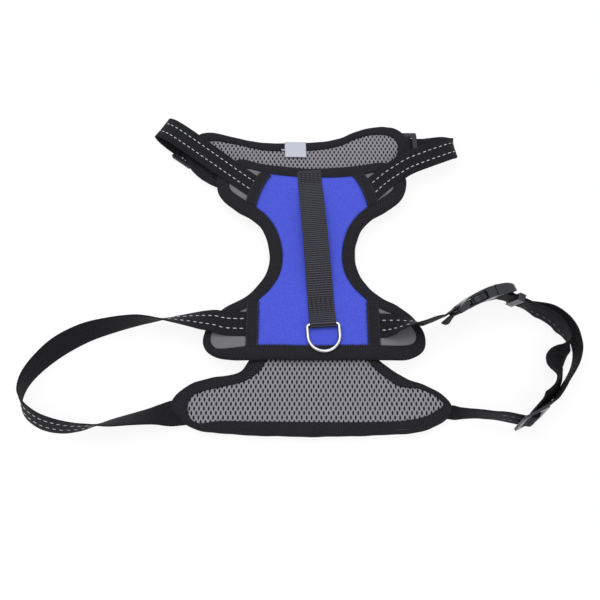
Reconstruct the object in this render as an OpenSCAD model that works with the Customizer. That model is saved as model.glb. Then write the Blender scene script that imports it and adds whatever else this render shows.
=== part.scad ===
// Vest harness for a pet, laid flat: chest plate below, back panel on top, straps looped to both sides.
// X runs to the right, Y runs towards the neck end, Z is up. The origin lies on the floor, under the
// middle of the back panel. Panels are cut to symmetrical patterns, and the chest plate is then laid
// a little askew, the way it was put down.

/* [Webbing] */
// width of every strap
web_w = 25; // [20:0.5:38]
// thickness of every strap
web_t = 1.4; // [1:0.1:2]
// room between a strap and whatever it passes
web_gap = 0.25; // [0.2:0.05:0.5]

/* [Chest plate] */
// height of the bound edge
chest_h = 9.4; // [8.6:0.1:12]

/* [Back panel] */
// height of the bound edge
back_h = 6.8; // [6.2:0.1:9]
// room between the two panels
panel_gap = 0.4; // [0.3:0.05:1]
// thickness of the binding tape
tape_t = 0.9; // [0.6:0.05:1.2]
// room between one cloth layer and the next
layer_gap = 0.2; // [0.15:0.05:0.3]
// width of the facing tapes
facing_w = 12; // [10:0.5:14]

/* [Handle and lead ring] */
// rise of the handle above the panel at its middle
handle_rise = 9; // [7:0.5:16]
// wire of the lead ring
ring_wire = 3.4; // [2.5:0.1:4]
// inside width of the lead ring
ring_inner_w = 26.6; // [26.5:0.1:40]
// straight sides of the lead ring
ring_leg = 9; // [6:0.5:14]

/* [Buckle] */
// width of the buckle
buckle_w = 36; // [34:0.5:50]
// thickness of the buckle
buckle_t = 10.6; // [10.6:0.1:13]
// length of the socket
socket_l = 40.5; // [40:0.5:44]
// length of the plug's base
plug_l = 20.5; // [19:0.5:24]
// radius of the bend along the buckle
buckle_bend = 90; // [85:1:150]
// lean of the buckle away from flat
buckle_lean = 74; // [65:1:90]
// heading of the buckle on the floor
buckle_turn = 25; // [20:0.5:30]

/* [Sliders and keeper] */
// thickness of a slider, which is the diameter of its bars
slider_t = 2.4; // [2.2:0.1:3]
// distance from one slider bar to the next
slider_pitch = 9.5; // [9.2:0.1:11]
// length of the strap keeper along the strap
keeper_l = 6.5; // [6:0.5:12]

/* [Hidden] */
$fn = 48;
curve_steps = 4;
strap_steps = 4;
half_web = web_w / 2;
// panel levels
back_z = chest_h + panel_gap;
back_top = back_z + back_h;
rim_in = tape_t + 0.3;
strap_z = back_top + web_gap + web_t / 2;
// strap middle line round a slider bar, and round a bar that already carries one turn
slider_r = slider_t / 2;
wrap_1 = slider_r + web_gap + web_t / 2;
wrap_2 = wrap_1 + web_t + web_gap;
slider_rail = 5;
slider_in_w = web_w + 0.8;
slider_w = slider_in_w + 2 * slider_rail;
slider_end = slider_pitch + 3.9;
// buckle places, in the buckle's own frame: X along it from socket to plug, Z to the outside of the loop
buckle_at = [170, -44.2, 19.6];
bend_mid = -12;
strap_bar_r = 2;
bar_wrap = strap_bar_r + web_gap + web_t / 2;
half_buckle = buckle_w / 2;
cheek_in = half_web + 0.7;
socket_bar = [4.6 - socket_l, 0, bend_z(4.6 - socket_l)];
plug_bar = [9, 0, -3.6];
plug_strap_drop = 46;
socket_strap_drop = 2;
cavity_lo = -4.1;
cavity_hi = 2.2;
cavity_mid = (cavity_lo + cavity_hi) / 2;
collar_l = 9.5;
cheek_l = 10;
window_l = socket_l - collar_l - cheek_l;
mouth_half = half_buckle - 3.4;
arm_h = cavity_hi - cavity_lo - 0.5;
arm_pin = [1.9, 9.4];
arm_pin_r = 2.2;
pin_clear = 0.06;
// belly slider, in world places
slider_at = [194.1, -166.9, 18.2];
slider_angles = [-93, 0, 26];
neck_l_at = [-131, 134.5, 3.2];
neck_l_turn = -38;
neck_r_at = [103, 141.5, 3.2];
neck_r_turn = 180;
// lead ring
ring_r = ring_inner_w / 2 + ring_wire / 2;
ring_corner = 2.6;
ring_at = [9.5, -77];
ring_wrap = ring_wire / 2 + web_gap + web_t / 2;
ring_z = strap_z + ring_wrap;
ring_droop = 3;
handle_turn = 4;

// Patterns as laid out: from the neck end down the right side, then from the belly end up the left side
back_edge_points = [[0, 104], [28, 105.5], [54, 108.5], [74, 112], [89, 107], [98, 95], [98.5, 82],
    [93, 67], [77, 52.5], [61, 42], [50, 30], [44, 14], [42, -3], [44.5, -19], [53, -34], [66, -47],
    [83, -57], [97, -70], [105, -86], [103.5, -100], [92, -108.5], [74, -110], [40, -109.5], [0, -110],
    [-40, -109.5], [-72.5, -110], [-88, -108], [-99.5, -101], [-103, -88], [-96.5, -71], [-83, -57],
    [-66, -47], [-53, -34], [-44.5, -19], [-42, -3], [-44, 14], [-50, 30], [-61, 42], [-77, 52.5],
    [-93, 67], [-98.5, 82], [-98, 95], [-89, 109.5], [-74.5, 116], [-54, 110.5], [-28, 106.5]];
back_field_points = [[0.5, 93], [28, 93], [52, 96], [72, 99.5], [83, 95], [87, 85], [84, 75], [72, 65],
    [58, 54.5], [46, 43], [37, 28], [32, 11], [30.5, -5], [33, -21], [40, -35], [50, -46.5], [64, -58],
    [80, -66], [92, -75], [98, -86], [95, -95], [84, -98], [50, -97.5], [0, -98], [-50, -97.5],
    [-84.5, -101], [-93.5, -98.5], [-97, -89], [-92, -75], [-80, -66], [-64, -58], [-50, -46.5],
    [-40, -35], [-33, -21], [-30.5, -5], [-32, 11], [-37, 28], [-46, 43], [-58, 54.5], [-72, 65],
    [-84, 75], [-87, 85], [-83.5, 97], [-70.5, 104], [-46.5, 98], [-28, 95]];
chest_edge_points = [[-14.5, 143.5], [13, 145.5], [33, 150.5], [48.5, 158.5], [64.5, 164], [81.5, 165.5],
    [96, 159.5], [104.5, 147], [106, 132.5], [100.5, 116], [85.5, 100], [62, 86], [38.5, 67], [23.5, 42.5],
    [21, 12.5], [24, -21.5], [32, -56], [44, -82.5], [59.5, -105.5], [72, -116.5], [87.5, -127],
    [105, -134], [119.5, -143], [126, -153.5], [121, -163.5], [107, -172], [89.5, -176.5], [59.5, -178.5],
    [27.5, -179.5], [-0.5, -180], [-29, -179.5], [-60, -178.5], [-91, -176], [-108, -172.5], [-122, -164],
    [-130.5, -153.5], [-125.5, -141.5], [-112, -131], [-93, -125.5], [-70.5, -121], [-60, -109],
    [-46, -84.5], [-38, -56], [-35.5, -22], [-37, 11.5], [-44.5, 41.5], [-61.5, 65], [-86, 82],
    [-110.5, 94], [-127.5, 108], [-134, 123.5], [-133.5, 137], [-126, 150.5], [-113, 158], [-95.5, 154.5],
    [-79, 149.5], [-63.5, 145.5], [-43, 143.5]];
chest_field_points = [[-14, 132.5], [11.5, 134.5], [31.5, 139.5], [47, 147.5], [61, 153], [77, 154.5],
    [89, 151], [95, 141.5], [94, 129], [87.5, 116.5], [73, 103.5], [51.5, 90], [28.5, 67], [13.5, 42.5],
    [9, 12], [14, -22], [23, -56], [37, -86], [49.5, -106], [58, -116.5], [69, -126.5], [80.5, -134],
    [97, -136], [111, -142.5], [119.5, -151.5], [113.5, -157.5], [102, -163.5], [84, -167.5], [49, -169],
    [-1, -169], [-51, -168.5], [-84.5, -168], [-102.5, -170], [-112, -165], [-115.5, -154.5],
    [-112.5, -144.5], [-102.5, -138.5], [-86, -134.5], [-64.5, -129], [-51, -119.5], [-43.5, -106.5],
    [-31.5, -86], [-28, -56], [-25.5, -22], [-27, 12], [-34.5, 41.5], [-51.5, 65], [-76.5, 86],
    [-99, 98.5], [-114.5, 109.5], [-122, 121], [-124, 132.5], [-119, 143], [-105.5, 146], [-89, 143],
    [-75, 139.5], [-59, 135], [-40.5, 132.5]];

// Curves
function through(a, b, c, d, t) =
    0.5 * (2 * b + (c - a) * t + (2 * a - 5 * b + 4 * c - d) * t * t + (3 * b - a - 3 * c + d) * t * t * t);
function closed_curve(c) = let (n = len(c)) [for (i = [0:n - 1]) for (k = [0:curve_steps - 1])
    through(c[(i + n - 1) % n], c[i], c[(i + 1) % n], c[(i + 2) % n], k / curve_steps)];
function open_curve(c) = let (n = len(c)) concat([for (i = [0:n - 2]) for (k = [0:strap_steps - 1])
    through(c[max(i - 1, 0)], c[i], c[i + 1], c[min(i + 2, n - 1)], k / strap_steps)], [c[n - 1]]);
function inset(c, d) = let (n = len(c)) [for (i = [0:n - 1])
    let (v = c[(i + 1) % n] - c[(i + n - 1) % n]) c[i] + d * [v.y, -v.x] / norm(v)];

back_edge = closed_curve(back_edge_points);
back_field = closed_curve(back_field_points);
chest_edge = closed_curve(chest_edge_points);
chest_field = closed_curve(chest_field_points);

// Places and directions
function turn_x(p, a) = [p.x, p.y * cos(a) - p.z * sin(a), p.y * sin(a) + p.z * cos(a)];
function turn_y(p, a) = [p.x * cos(a) + p.z * sin(a), p.y, p.z * cos(a) - p.x * sin(a)];
function turn_z(p, a) = [p.x * cos(a) - p.y * sin(a), p.x * sin(a) + p.y * cos(a), p.z];
function buckle_dir(p) = turn_z(turn_x(p, -buckle_lean), buckle_turn);
function slider_dir(p) = turn_z(turn_y(turn_x(p, slider_angles.x), slider_angles.y), slider_angles.z);
function bend_z(x) = -pow(x - bend_mid, 2) / (2 * buckle_bend);
function unit(v) = v / norm(v);

// A strap station is [place, direction across the strap]; a row is [x, y, z, roll], where roll 0 lies
// flat with the reflective face up and roll 90 turns that face to the right of the strap's heading.
function row_place(r) = [r[0], r[1], r[2]];
function row_station(rows, i) = let (
    t = unit(row_place(rows[min(i + 1, len(rows) - 1)]) - row_place(rows[max(i - 1, 0)])),
    side = unit(cross(t, [0, 0, 1])),
    up = cross(side, t)) [row_place(rows[i]), cos(rows[i][3]) * side - sin(rows[i][3]) * up];
function stations(rows) = [for (i = [0:len(rows) - 1]) row_station(rows, i)];
function flat_stations(rows) = [for (r = rows) let (rise = len(r) > 4 ? r[4] : 0)
    [row_place(r), [cos(r[3]) * cos(rise), sin(r[3]) * cos(rise), sin(rise)]]];
function smooth(st) = let (p = open_curve([for (s = st) s[0]]), w = open_curve([for (s = st) s[1]]))
    [for (i = [0:len(p) - 1]) [p[i], w[i]]];

// One strap: a flat web swept through its stations, where a third value gives the width of a gathered stretch
module strap(st, w = web_w, t = web_t) {
    n = len(st);
    rings = [for (i = [0:n - 1]) let (
        along = unit(st[min(i + 1, n - 1)][0] - st[max(i - 1, 0)][0]),
        face = unit(cross(st[i][1], along)),
        side = cross(along, face),
        half = (len(st[i]) > 2 ? st[i][2] : w) / 2)
        for (c = [[1, 1], [-1, 1], [-1, -1], [1, -1]]) st[i][0] + side * c.x * half + face * c.y * t / 2];
    sides = [for (i = [0:n - 2]) for (k = [0:3]) let (a = 4 * i + k, b = 4 * i + (k + 1) % 4)
        each [[a, a + 4, b + 4], [a, b + 4, b]]];
    polyhedron(rings, concat(sides, [[0, 1, 2], [0, 2, 3],
        [4 * n - 1, 4 * n - 2, 4 * n - 3], [4 * n - 1, 4 * n - 3, 4 * n - 4]]));
}

module layer(outline, z_low, z_high) {
    translate([0, 0, z_low]) linear_extrude(z_high - z_low) polygon(outline);
}

// Binding: tape folded over the edge of the layers
module binding(edge, field, z_low, z_high) {
    difference() {
        layer(edge, z_low, z_high);
        layer(inset(edge, tape_t), z_low + tape_t, z_high - tape_t);
        layer(field, z_low - 1, z_high + 1);
    }
}

module block(from, to) {
    translate(from) cube(to - from);
}

// Levels of the layers inside the chest plate
shell_z = tape_t + layer_gap;
shell_top = shell_z + 0.8;
chest_foam_z = shell_top + layer_gap;
chest_foam_top = chest_h - 3.3;
mesh_z = chest_foam_top + layer_gap;
pocket_z = (chest_foam_z + chest_foam_top) / 2;
pocket_half = web_t / 2 + web_gap;

// Hollow under a neck lobe where a slider and the sewn strap end lie
module neck_hollow(at, turn) {
    translate([at.x, at.y, 0]) rotate(turn) {
        block([-60, -slider_w / 2 - 0.4, -1], [slider_end + 0.4, slider_w / 2 + 0.4, chest_foam_top + 0.1]);
        block([0, -half_web - 0.5, -1], [strap_end_x + 0.5, half_web + 0.5, shell_top + 0.1]);
    }
}

// Pocket in a belly tip where a strap end is sewn in
module tip_pocket(at, turn) {
    translate([at.x, at.y, pocket_z]) rotate(turn)
        block([-20, -half_web - 0.5, -pocket_half], [16, half_web + 0.5, pocket_half]);
}

strap_end_x = 30;
tip_left = [-121, -158];
tip_left_turn = 7;
tip_right = [119, -157.5];
tip_right_turn = 175;

module chest_cuts() {
    neck_hollow(neck_l_at, neck_l_turn);
    neck_hollow(neck_r_at, neck_r_turn);
    tip_pocket(tip_left, tip_left_turn);
    tip_pocket(tip_right, tip_right_turn);
}

module chest_shell() {
    color("RoyalBlue") difference() {
        union() {
            layer(inset(chest_edge, rim_in), shell_z, shell_top);
            layer(inset(chest_field, 0.4), 0, shell_top);
        }
        chest_cuts();
    }
}

module chest_foam() {
    color("Gainsboro") difference() {
        layer(inset(chest_edge, rim_in), chest_foam_z, chest_foam_top);
        chest_cuts();
    }
}

module chest_mesh() {
    color("Gray") {
        layer(inset(chest_edge, rim_in), mesh_z, chest_h - tape_t - layer_gap);
        layer(inset(chest_field, 0.4), mesh_z, chest_h);
    }
}

module chest_binding() {
    color("DimGray") difference() {
        binding(chest_edge, chest_field, 0, chest_h);
        chest_cuts();
    }
}

// Care label: a bare satin tab sewn on at the neck edge
label_from = [-29, 122];
label_to = [-6, 142];
label_t = 0.5;

module care_label() {
    color("White") block([label_from.x, label_from.y, chest_h + 0.3], [label_to.x, label_to.y, chest_h + 0.3 + label_t]);
}

// Levels of the layers inside the back panel
lining_z = back_z + tape_t + layer_gap;
lining_top = lining_z + 0.8;
back_foam_z = lining_top + layer_gap;
back_foam_top = back_top - 2.6;
cover_z = back_foam_top + layer_gap;

module back_lining() {
    color("Gray") {
        layer(inset(back_edge, rim_in), lining_z, lining_top);
        layer(inset(back_field, 0.4), back_z + 0.1, lining_top);
    }
}

module back_foam() {
    color("Gainsboro") layer(inset(back_edge, rim_in), back_foam_z, back_foam_top);
}

module back_binding() {
    color("DimGray") binding(back_edge, back_field, back_z, back_top);
}

// The outer cloth: blue between the facings, grey in the four lobes beyond them
cut_gap = 0.15;
front_cut = [[36.3, 130], [73.8, 30]];
rear_cut = [[59, -20], [59, -125]];

module outer_cloth() {
    layer(inset(back_edge, rim_in), cover_z, back_top - tape_t - layer_gap);
    layer(inset(back_field, 0.4), cover_z, back_top);
}

module back_cover() {
    half = [for (p = concat(front_cut, rear_cut)) p - [cut_gap, 0]];
    color("RoyalBlue") intersection() {
        outer_cloth();
        layer(concat(half, [for (i = [3:-1:0]) [-half[i].x, half[i].y]]), 0, 30);
    }
}

module lobe(side, cut) {
    far = 140;
    color("Silver") intersection() {
        outer_cloth();
        layer([for (p = concat([for (q = cut) q + [cut_gap, 0]], [[far, cut[1].y], [far, cut[0].y]]))
            [side * p.x, p.y]], 0, 30);
    }
}

module lobe_front_left() { lobe(-1, front_cut); }
module lobe_front_right() { lobe(1, front_cut); }
module lobe_rear_left() { lobe(-1, rear_cut); }
module lobe_rear_right() { lobe(1, rear_cut); }

// Facing tapes: flat on the panel, raised where the strap end passes under
facing_t = 0.8;
facing_z = back_top + layer_gap;
facing_up = strap_z + web_t / 2 + web_gap;

module facing(at, turn, length, zone_at, zone_l) {
    half_l = length / 2;
    half_w = facing_w / 2;
    zone_lo = zone_at - zone_l / 2;
    zone_hi = zone_at + zone_l / 2;
    color("DimGray") translate([at.x, at.y, 0]) rotate(turn) {
        block([-half_l, -half_w, facing_z], [zone_lo, half_w, facing_z + facing_t]);
        block([zone_hi, -half_w, facing_z], [half_l, half_w, facing_z + facing_t]);
        block([zone_lo - facing_t, -half_w, facing_z], [zone_lo, half_w, facing_up + facing_t]);
        block([zone_hi, -half_w, facing_z], [zone_hi + facing_t, half_w, facing_up + facing_t]);
        block([zone_lo - facing_t, -half_w, facing_up], [zone_hi + facing_t, half_w, facing_up + facing_t]);
    }
}

front_facing_at = [56.1, 76.6];
front_facing_turn = -69.4;
front_facing_l = 45;
rear_facing_at = [59, -74.5];
rear_facing_l = 48;
front_zone = web_w + 11;
rear_zone = web_w + 1.6;

module facing_front_left() {
    facing([-front_facing_at.x, front_facing_at.y], 180 - front_facing_turn, front_facing_l, 0.5, front_zone);
}
module facing_front_right() { facing(front_facing_at, front_facing_turn, front_facing_l, 1.5, front_zone); }
module facing_rear_left() { facing([-rear_facing_at.x, rear_facing_at.y], 90, rear_facing_l, -1, rear_zone); }
module facing_rear_right() { facing(rear_facing_at, 90, rear_facing_l, -2.5, rear_zone); }

// Handle: sewn flat at the neck end, arched over the panel, looped round the bar of the lead ring
function handle_row(y, rise) = [ring_at.x - (y - ring_at.y) * tan(handle_turn), y, strap_z + rise, handle_turn];
handle_double = web_t + web_gap;

module handle_webbing() {
    over = [for (r = [[104, 0], [92, 0], [82, 0.2], [66, 3.4], [42, 7.8], [14, 9], [-14, 7.6], [-34, 4.4]])
        handle_row(r[0], r[1] * handle_rise / 9)];
    sewn = [handle_row(-47, handle_double), handle_row(-56, handle_double), handle_row(-65, handle_double + 0.2)];
    turn = [for (a = [0:15:180]) handle_row(ring_at.y - ring_wrap * sin(a), ring_z - strap_z + ring_wrap * cos(a))];
    back = [handle_row(-68, 0), handle_row(-58, 0), handle_row(-48, 0)];
    color("DimGray") strap(concat(smooth(flat_stations(concat(over, sewn))), flat_stations(concat(turn, back))));
}

module lead_ring() {
    wire = ring_wire / 2;
    half_bar = ring_r - ring_corner;
    color("Silver") translate([ring_at.x, ring_at.y, ring_z]) rotate(handle_turn) rotate([ring_droop, 0, 0]) {
        translate([-half_bar, 0, 0]) rotate([0, 90, 0]) cylinder(r = wire, h = 2 * half_bar);
        for (side = [-1, 1]) {
            translate([side * ring_r, -ring_corner, 0]) rotate([90, 0, 0]) cylinder(r = wire, h = ring_leg);
            translate([side * half_bar, -ring_corner, 0]) rotate(side > 0 ? 0 : 90)
                rotate_extrude(angle = 90) translate([ring_corner, 0]) circle(wire);
        }
        translate([0, -ring_corner - ring_leg, 0]) rotate(180)
            rotate_extrude(angle = 180) translate([ring_r, 0]) circle(wire);
    }
}

// Three-bar slider: X along the strap, bars along Y
module slider() {
    color("SlateGray") {
        for (x = [-slider_pitch, 0, slider_pitch])
            translate([x, -slider_in_w / 2 - 1, 0]) rotate([-90, 0, 0]) cylinder(r = slider_r, h = slider_in_w + 2);
        for (side = [-1, 1]) {
            block([side > 0 ? slider_pitch : -slider_end, -slider_in_w / 2 - 1, -slider_r],
                [side > 0 ? slider_end : -slider_pitch, slider_in_w / 2 + 1, slider_r]);
            translate([0, side * (slider_in_w + slider_rail) / 2, -slider_r])
                linear_extrude(slider_t) rail_outline();
        }
    }
}

module rail_outline() {
    r = slider_rail / 2;
    square([2 * (slider_end - r), slider_rail], center = true);
    for (side = [-1, 1]) translate([side * (slider_end - r), 0]) circle(r);
}

module neck_slider_left() { translate(neck_l_at) rotate(neck_l_turn) slider(); }
module neck_slider_right() { translate(neck_r_at) rotate(neck_r_turn) slider(); }
module belly_slider() { translate(slider_at) rotate(slider_angles) slider(); }

// A neck strap end: under the outer bars of its slider, over the middle one, then sewn to the shell
function bar_arc(x, r, from, to) = [for (k = [0:4]) let (a = from + (to - from) * k / 4) [x + r * sin(a), r * cos(a)]];
weave_lean = asin(2 * wrap_1 / slider_pitch);
neck_weave = concat([[-slider_end - 8, -wrap_1], [-slider_end, -wrap_1]],
    bar_arc(-slider_pitch, wrap_1, 180, 180 - weave_lean), bar_arc(0, wrap_1, -weave_lean, weave_lean),
    bar_arc(slider_pitch, wrap_1, 180 + weave_lean, 180), [[slider_end, -wrap_1], [strap_end_x, -wrap_1]]);
function neck_end(at, turn, across) =
    [for (p = neck_weave) [at + turn_z([p[0], 0, p[1]], turn), [cos(across), sin(across), 0]]];

module neck_strap_left() {
    over = [[-58.3, 78, strap_z, 52], [-72, 88.6, strap_z, 52], [-86, 99.5, strap_z + 0.9, 52, 2],
        [-108, 116.4, 20.2, 52, 8], [-135, 137.2, 22.2, 52, 13], [-151, 149.6, 21.4, 52, 15],
        [-160, 156.8, 17, 52, 15], [-163, 159.3, 11.4, 52, 12], [-160.6, 157.6, 6, 52, 7],
        [-154.5, 152.9, 2.4, 52, 2]];
    lower = neck_end(neck_l_at, neck_l_turn, 52);
    color("DimGray") strap(concat(smooth(concat(flat_stations(over), [lower[0]])),
        [for (i = [1:len(lower) - 1]) lower[i]]));
}

// Fold of the right neck strap: half a turn of a screw line about an axis across the pet
neck_fold_at = [143.9, 122.8, 11.8];
neck_fold_r = 9.4;
neck_fold_turn = 22;
neck_fold_rise = [0.066, 0.11];
function neck_fold(a) = [neck_fold_at.x + neck_fold_r * sin(a),
    neck_fold_at.y + neck_fold_rise[0] * min(a, 90) + neck_fold_rise[1] * max(a - 90, 0),
    neck_fold_at.z + neck_fold_r * cos(a), atan2(cos(neck_fold_turn), -sin(neck_fold_turn) * cos(a)),
    asin(sin(neck_fold_turn) * sin(a))];

module neck_strap_right() {
    over = concat([[59.4, 72.7, strap_z, 134], [70, 83.4, strap_z, 132], [80.5, 92.4, strap_z + 0.5, 125],
        [94, 101, 19.2, 118], [104.4, 106.4, 20.6, 113], [123.3, 114.1, 21, 112]],
        [for (a = [0:30:180]) neck_fold(a)]);
    lower = neck_end(neck_r_at, neck_r_turn, 90);
    color("DimGray") strap(concat(smooth(concat(flat_stations(over), [lower[0]])),
        [for (i = [1:len(lower) - 1]) lower[i]]));
}

// Left belly strap: flat on the rear lobe, on its edge round the loop, upside down into the belly tip
module belly_strap_left() {
    rows = [[-55, -75.5, strap_z, 0], [-70, -75.5, strap_z, 0], [-83, -75.2, strap_z + 0.8, 3],
        [-94, -73.2, 20, 12], [-104, -71.8, 18.4, 21], [-114, -70.6, 17, 34], [-126, -69.6, 15.4, 48],
        [-141, -68.8, 14, 64], [-155, -68.8, 13.2, 80], [-170, -70, 12.8, 92], [-193, -75, 12.4, 103],
        [-216, -82.5, 12, 112], [-238, -95.5, 11.8, 114], [-254, -111.5, 12.2, 104], [-264, -127, 12.8, 94],
        [-267.6, -142, 13.1, 87], [-264.6, -155, 13.2, 83], [-255, -165.6, 13.2, 82], [-239, -172.4, 13.2, 86],
        [-221, -174.2, 13, 98], [-204, -172, 12.3, 113], [-188, -168.6, 10.2, 134], [-172, -165.4, 7.2, 157],
        [-156, -162.6, pocket_z + 0.8, 173], [-140, -160.4, pocket_z, 180], [-108, -156.5, pocket_z, 180]];
    color("DimGray") strap(smooth(stations(rows)));
}

// Buckle frame
module in_buckle() {
    translate(buckle_at) rotate([-buckle_lean, 0, buckle_turn]) children();
}
function buckle_station(p, side) = [buckle_at + buckle_dir(p), side * buckle_dir([0, 1, 0])];

// Strap round a buckle bar: in on the outside, round the bar, back on the inside
function bar_turn(bar, out, drop, straight) = let (
    along = [out * cos(drop), 0, -sin(drop)],
    off = [out * sin(drop), 0, cos(drop)],
    ends = [[straight + 4, double_off], [straight, double_off], [11, double_off], [6, 2]]) concat(
    [for (e = ends) bar + e[0] * along + e[1] * off],
    [for (a = [0:20:180]) bar + bar_wrap * (cos(a) * off - sin(a) * along)],
    [for (i = [3:-1:0]) bar + ends[i][0] * along - ends[i][1] * off]);
keeper_at = 18;
keeper_travel = 5;
socket_straight = 22;
plug_straight = keeper_at + keeper_l / 2 + keeper_travel + 1;
double_off = (web_t + 0.6) / 2;

// Short strap between the right rear lobe and the socket
module buckle_strap() {
    rows = [[55, -77.5, strap_z, 0], [66.5, -77.4, strap_z, 0], [73, -77.8, strap_z + 1.6, -8],
        [80, -78.6, strap_z + 5.2, -22], [87, -79.6, 26.9, -43], [93.5, -80, 29.6, -60], [100, -79.6, 30.7, -72],
        [106.4, -78, 29, -80], [112.4, -75.4, 25.4, -80]];
    turn = [for (p = bar_turn(socket_bar, -1, socket_strap_drop, socket_straight)) buckle_station(p, -1)];
    last = len(turn) - 3;
    color("DimGray") strap(concat(smooth(concat(stations(rows), [turn[1], turn[2]])), [for (i = [3:last]) turn[i]]));
}

// Side profile of the buckle between two places along it, thinner by given amounts at its ends
function profile(x0, x1, trim0, trim1) = let (n = 14, xs = [for (k = [0:n]) x0 + (x1 - x0) * k / n],
    half = [for (k = [0:n]) buckle_t / 2 - trim0 * pow(1 - k / n, 3) - trim1 * pow(k / n, 4)])
    concat([for (k = [0:n]) [xs[k], bend_z(xs[k]) + half[k]]],
        [for (k = [n:-1:0]) [xs[k], bend_z(xs[k]) - half[k]]]);

module side_slab(outline, half) {
    translate([0, half, 0]) rotate([90, 0, 0]) linear_extrude(2 * half) polygon(outline);
}

module both_sides(half_outline) {
    translate([0, 0, -20]) linear_extrude(40)
        polygon(concat(half_outline, [for (i = [len(half_outline) - 1:-1:0]) [half_outline[i].x, -half_outline[i].y]]));
}

rib_pitch = 2.6;
socket_taper = 2.6;
function socket_under(x) = bend_z(x) - buckle_t / 2 + socket_taper * pow(-x / socket_l, 3);
socket_plan = [[0, half_buckle - 0.8], [-0.8, half_buckle], [-collar_l, half_buckle], [-collar_l, mouth_half],
    [-collar_l - 3, mouth_half - 2], [-collar_l - window_l / 2, mouth_half - 3.2],
    [-collar_l - window_l + 3, mouth_half - 2], [-collar_l - window_l, mouth_half],
    [-collar_l - window_l, half_buckle - 0.4], [2.4 - socket_l, half_buckle - 1.6], [-socket_l, half_buckle - 3.4]];

module buckle_socket() {
    wall = -collar_l - window_l;
    color("SlateGray") in_buckle() {
        difference() {
            intersection() {
                both_sides(socket_plan);
                side_slab(profile(-socket_l, 0, socket_taper, 0), half_buckle + 1);
            }
            block([wall + 1.6, -mouth_half, cavity_lo], [1, mouth_half, cavity_hi]);
            block([-socket_l - 1, -cheek_in, -20], [wall - 1, cheek_in, 20]);
        }
        translate(socket_bar - [0, cheek_in + 0.5, 0]) rotate([-90, 0, 0])
            cylinder(r = strap_bar_r, h = 2 * cheek_in + 1);
        for (k = [0:6]) let (x = -collar_l - 2 - k * rib_pitch)
            block([x - 0.5, 3.6 - mouth_half, socket_under(x) - 0.5], [x + 0.5, mouth_half - 3.6, socket_under(x) + 0.5]);
    }
}

plug_x = 0.3;
plug_wall = 3.6;
cover_t = 1.7;
plug_plan = [[plug_x, half_buckle - 0.8], [plug_x + 0.8, half_buckle], [plug_l - 8, half_buckle - 0.2],
    [plug_l - 3.5, half_buckle - 1.4], [plug_l - 1, half_buckle - 3], [plug_l, half_buckle - 4.6]];

module buckle_plug() {
    outline = profile(plug_x, plug_l, 0, 2.2);
    n = len(outline) / 2;
    under = concat([for (k = [0:n - 1]) if (outline[k].x > plug_x + plug_wall) outline[k] - [0, cover_t]],
        [[plug_l + 1, -30], [plug_x + plug_wall, -30]]);
    color("SlateGray") in_buckle() {
        difference() {
            intersection() {
                both_sides(plug_plan);
                side_slab(outline, half_buckle + 1);
            }
            side_slab(under, cheek_in);
            block([plug_l - 2, -cheek_in, -30], [plug_l + 2, cheek_in, outline[n - 1].y - cover_t]);
            for (side = [-1, 1]) {
                translate([arm_pin.x, side * arm_pin.y, -20]) cylinder(r = arm_pin_r + pin_clear, h = 40);
                block([plug_x - 1, side * arm_pin.y - 2.1, -20], [arm_pin.x, side * arm_pin.y + 2.1, 20]);
            }
        }
        translate(plug_bar - [0, cheek_in + 0.5, 0]) rotate([-90, 0, 0])
            cylinder(r = strap_bar_r, h = 2 * cheek_in + 1);
        block([-tongue_l, -tongue_w / 2, cavity_mid - 1.6], [plug_x + 1, tongue_w / 2, cavity_mid + 1.6]);
        block([2.6, -half_buckle + 7, bend_z(4) + buckle_t / 2 - 1], [5.6, half_buckle - 7, bend_z(4) + buckle_t / 2 + 0.9]);
    }
}
tongue_l = 22;
tongue_w = 5;

// Release arm: pivots at the plug, catches behind the collar, ridged where a finger presses it
arm_plan = [[arm_pin.x, arm_pin.y - 1.3], [-10, arm_pin.y + 0.6], [-20, arm_pin.y + 1.6], [-24.4, arm_pin.y + 2.4],
    [-24.6, mouth_half - 0.6], [-22.4, mouth_half + 1.8], [-18, mouth_half + 2.8], [-13.4, mouth_half + 2.6],
    [-collar_l - 0.4, mouth_half + 1.4], [-collar_l - 0.4, arm_pin.y + 3.2], [arm_pin.x, arm_pin.y + 1.3]];
ridge_pitch = 1.5;

module release_arm(side) {
    color("SlateGray") in_buckle() mirror([0, side > 0 ? 0 : 1, 0]) difference() {
        union() {
            translate([0, 0, cavity_mid - arm_h / 2]) linear_extrude(arm_h) polygon(arm_plan);
            translate([arm_pin.x, arm_pin.y, cavity_mid - arm_h / 2]) cylinder(r = arm_pin_r, h = arm_h);
        }
        for (k = [-1.5:1:1.5])
            block([-23, mouth_half + 2.1, cavity_mid + k * ridge_pitch - 0.35],
                [-11.4, half_buckle, cavity_mid + k * ridge_pitch + 0.35]);
    }
}
module release_arm_upper() { release_arm(-1); }
module release_arm_lower() { release_arm(1); }

module strap_keeper() {
    wall = 1.6;
    in_w = web_w + 1;
    in_h = 2 * double_off + web_t + 0.6;
    color("SlateGray") in_buckle() translate(plug_bar) rotate([0, plug_strap_drop, 0]) translate([keeper_at, 0, 0])
        difference() {
            cube([keeper_l, in_w + 2 * wall, in_h + 2 * wall], center = true);
            cube([keeper_l + 2, in_w, in_h], center = true);
        }
}

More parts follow.
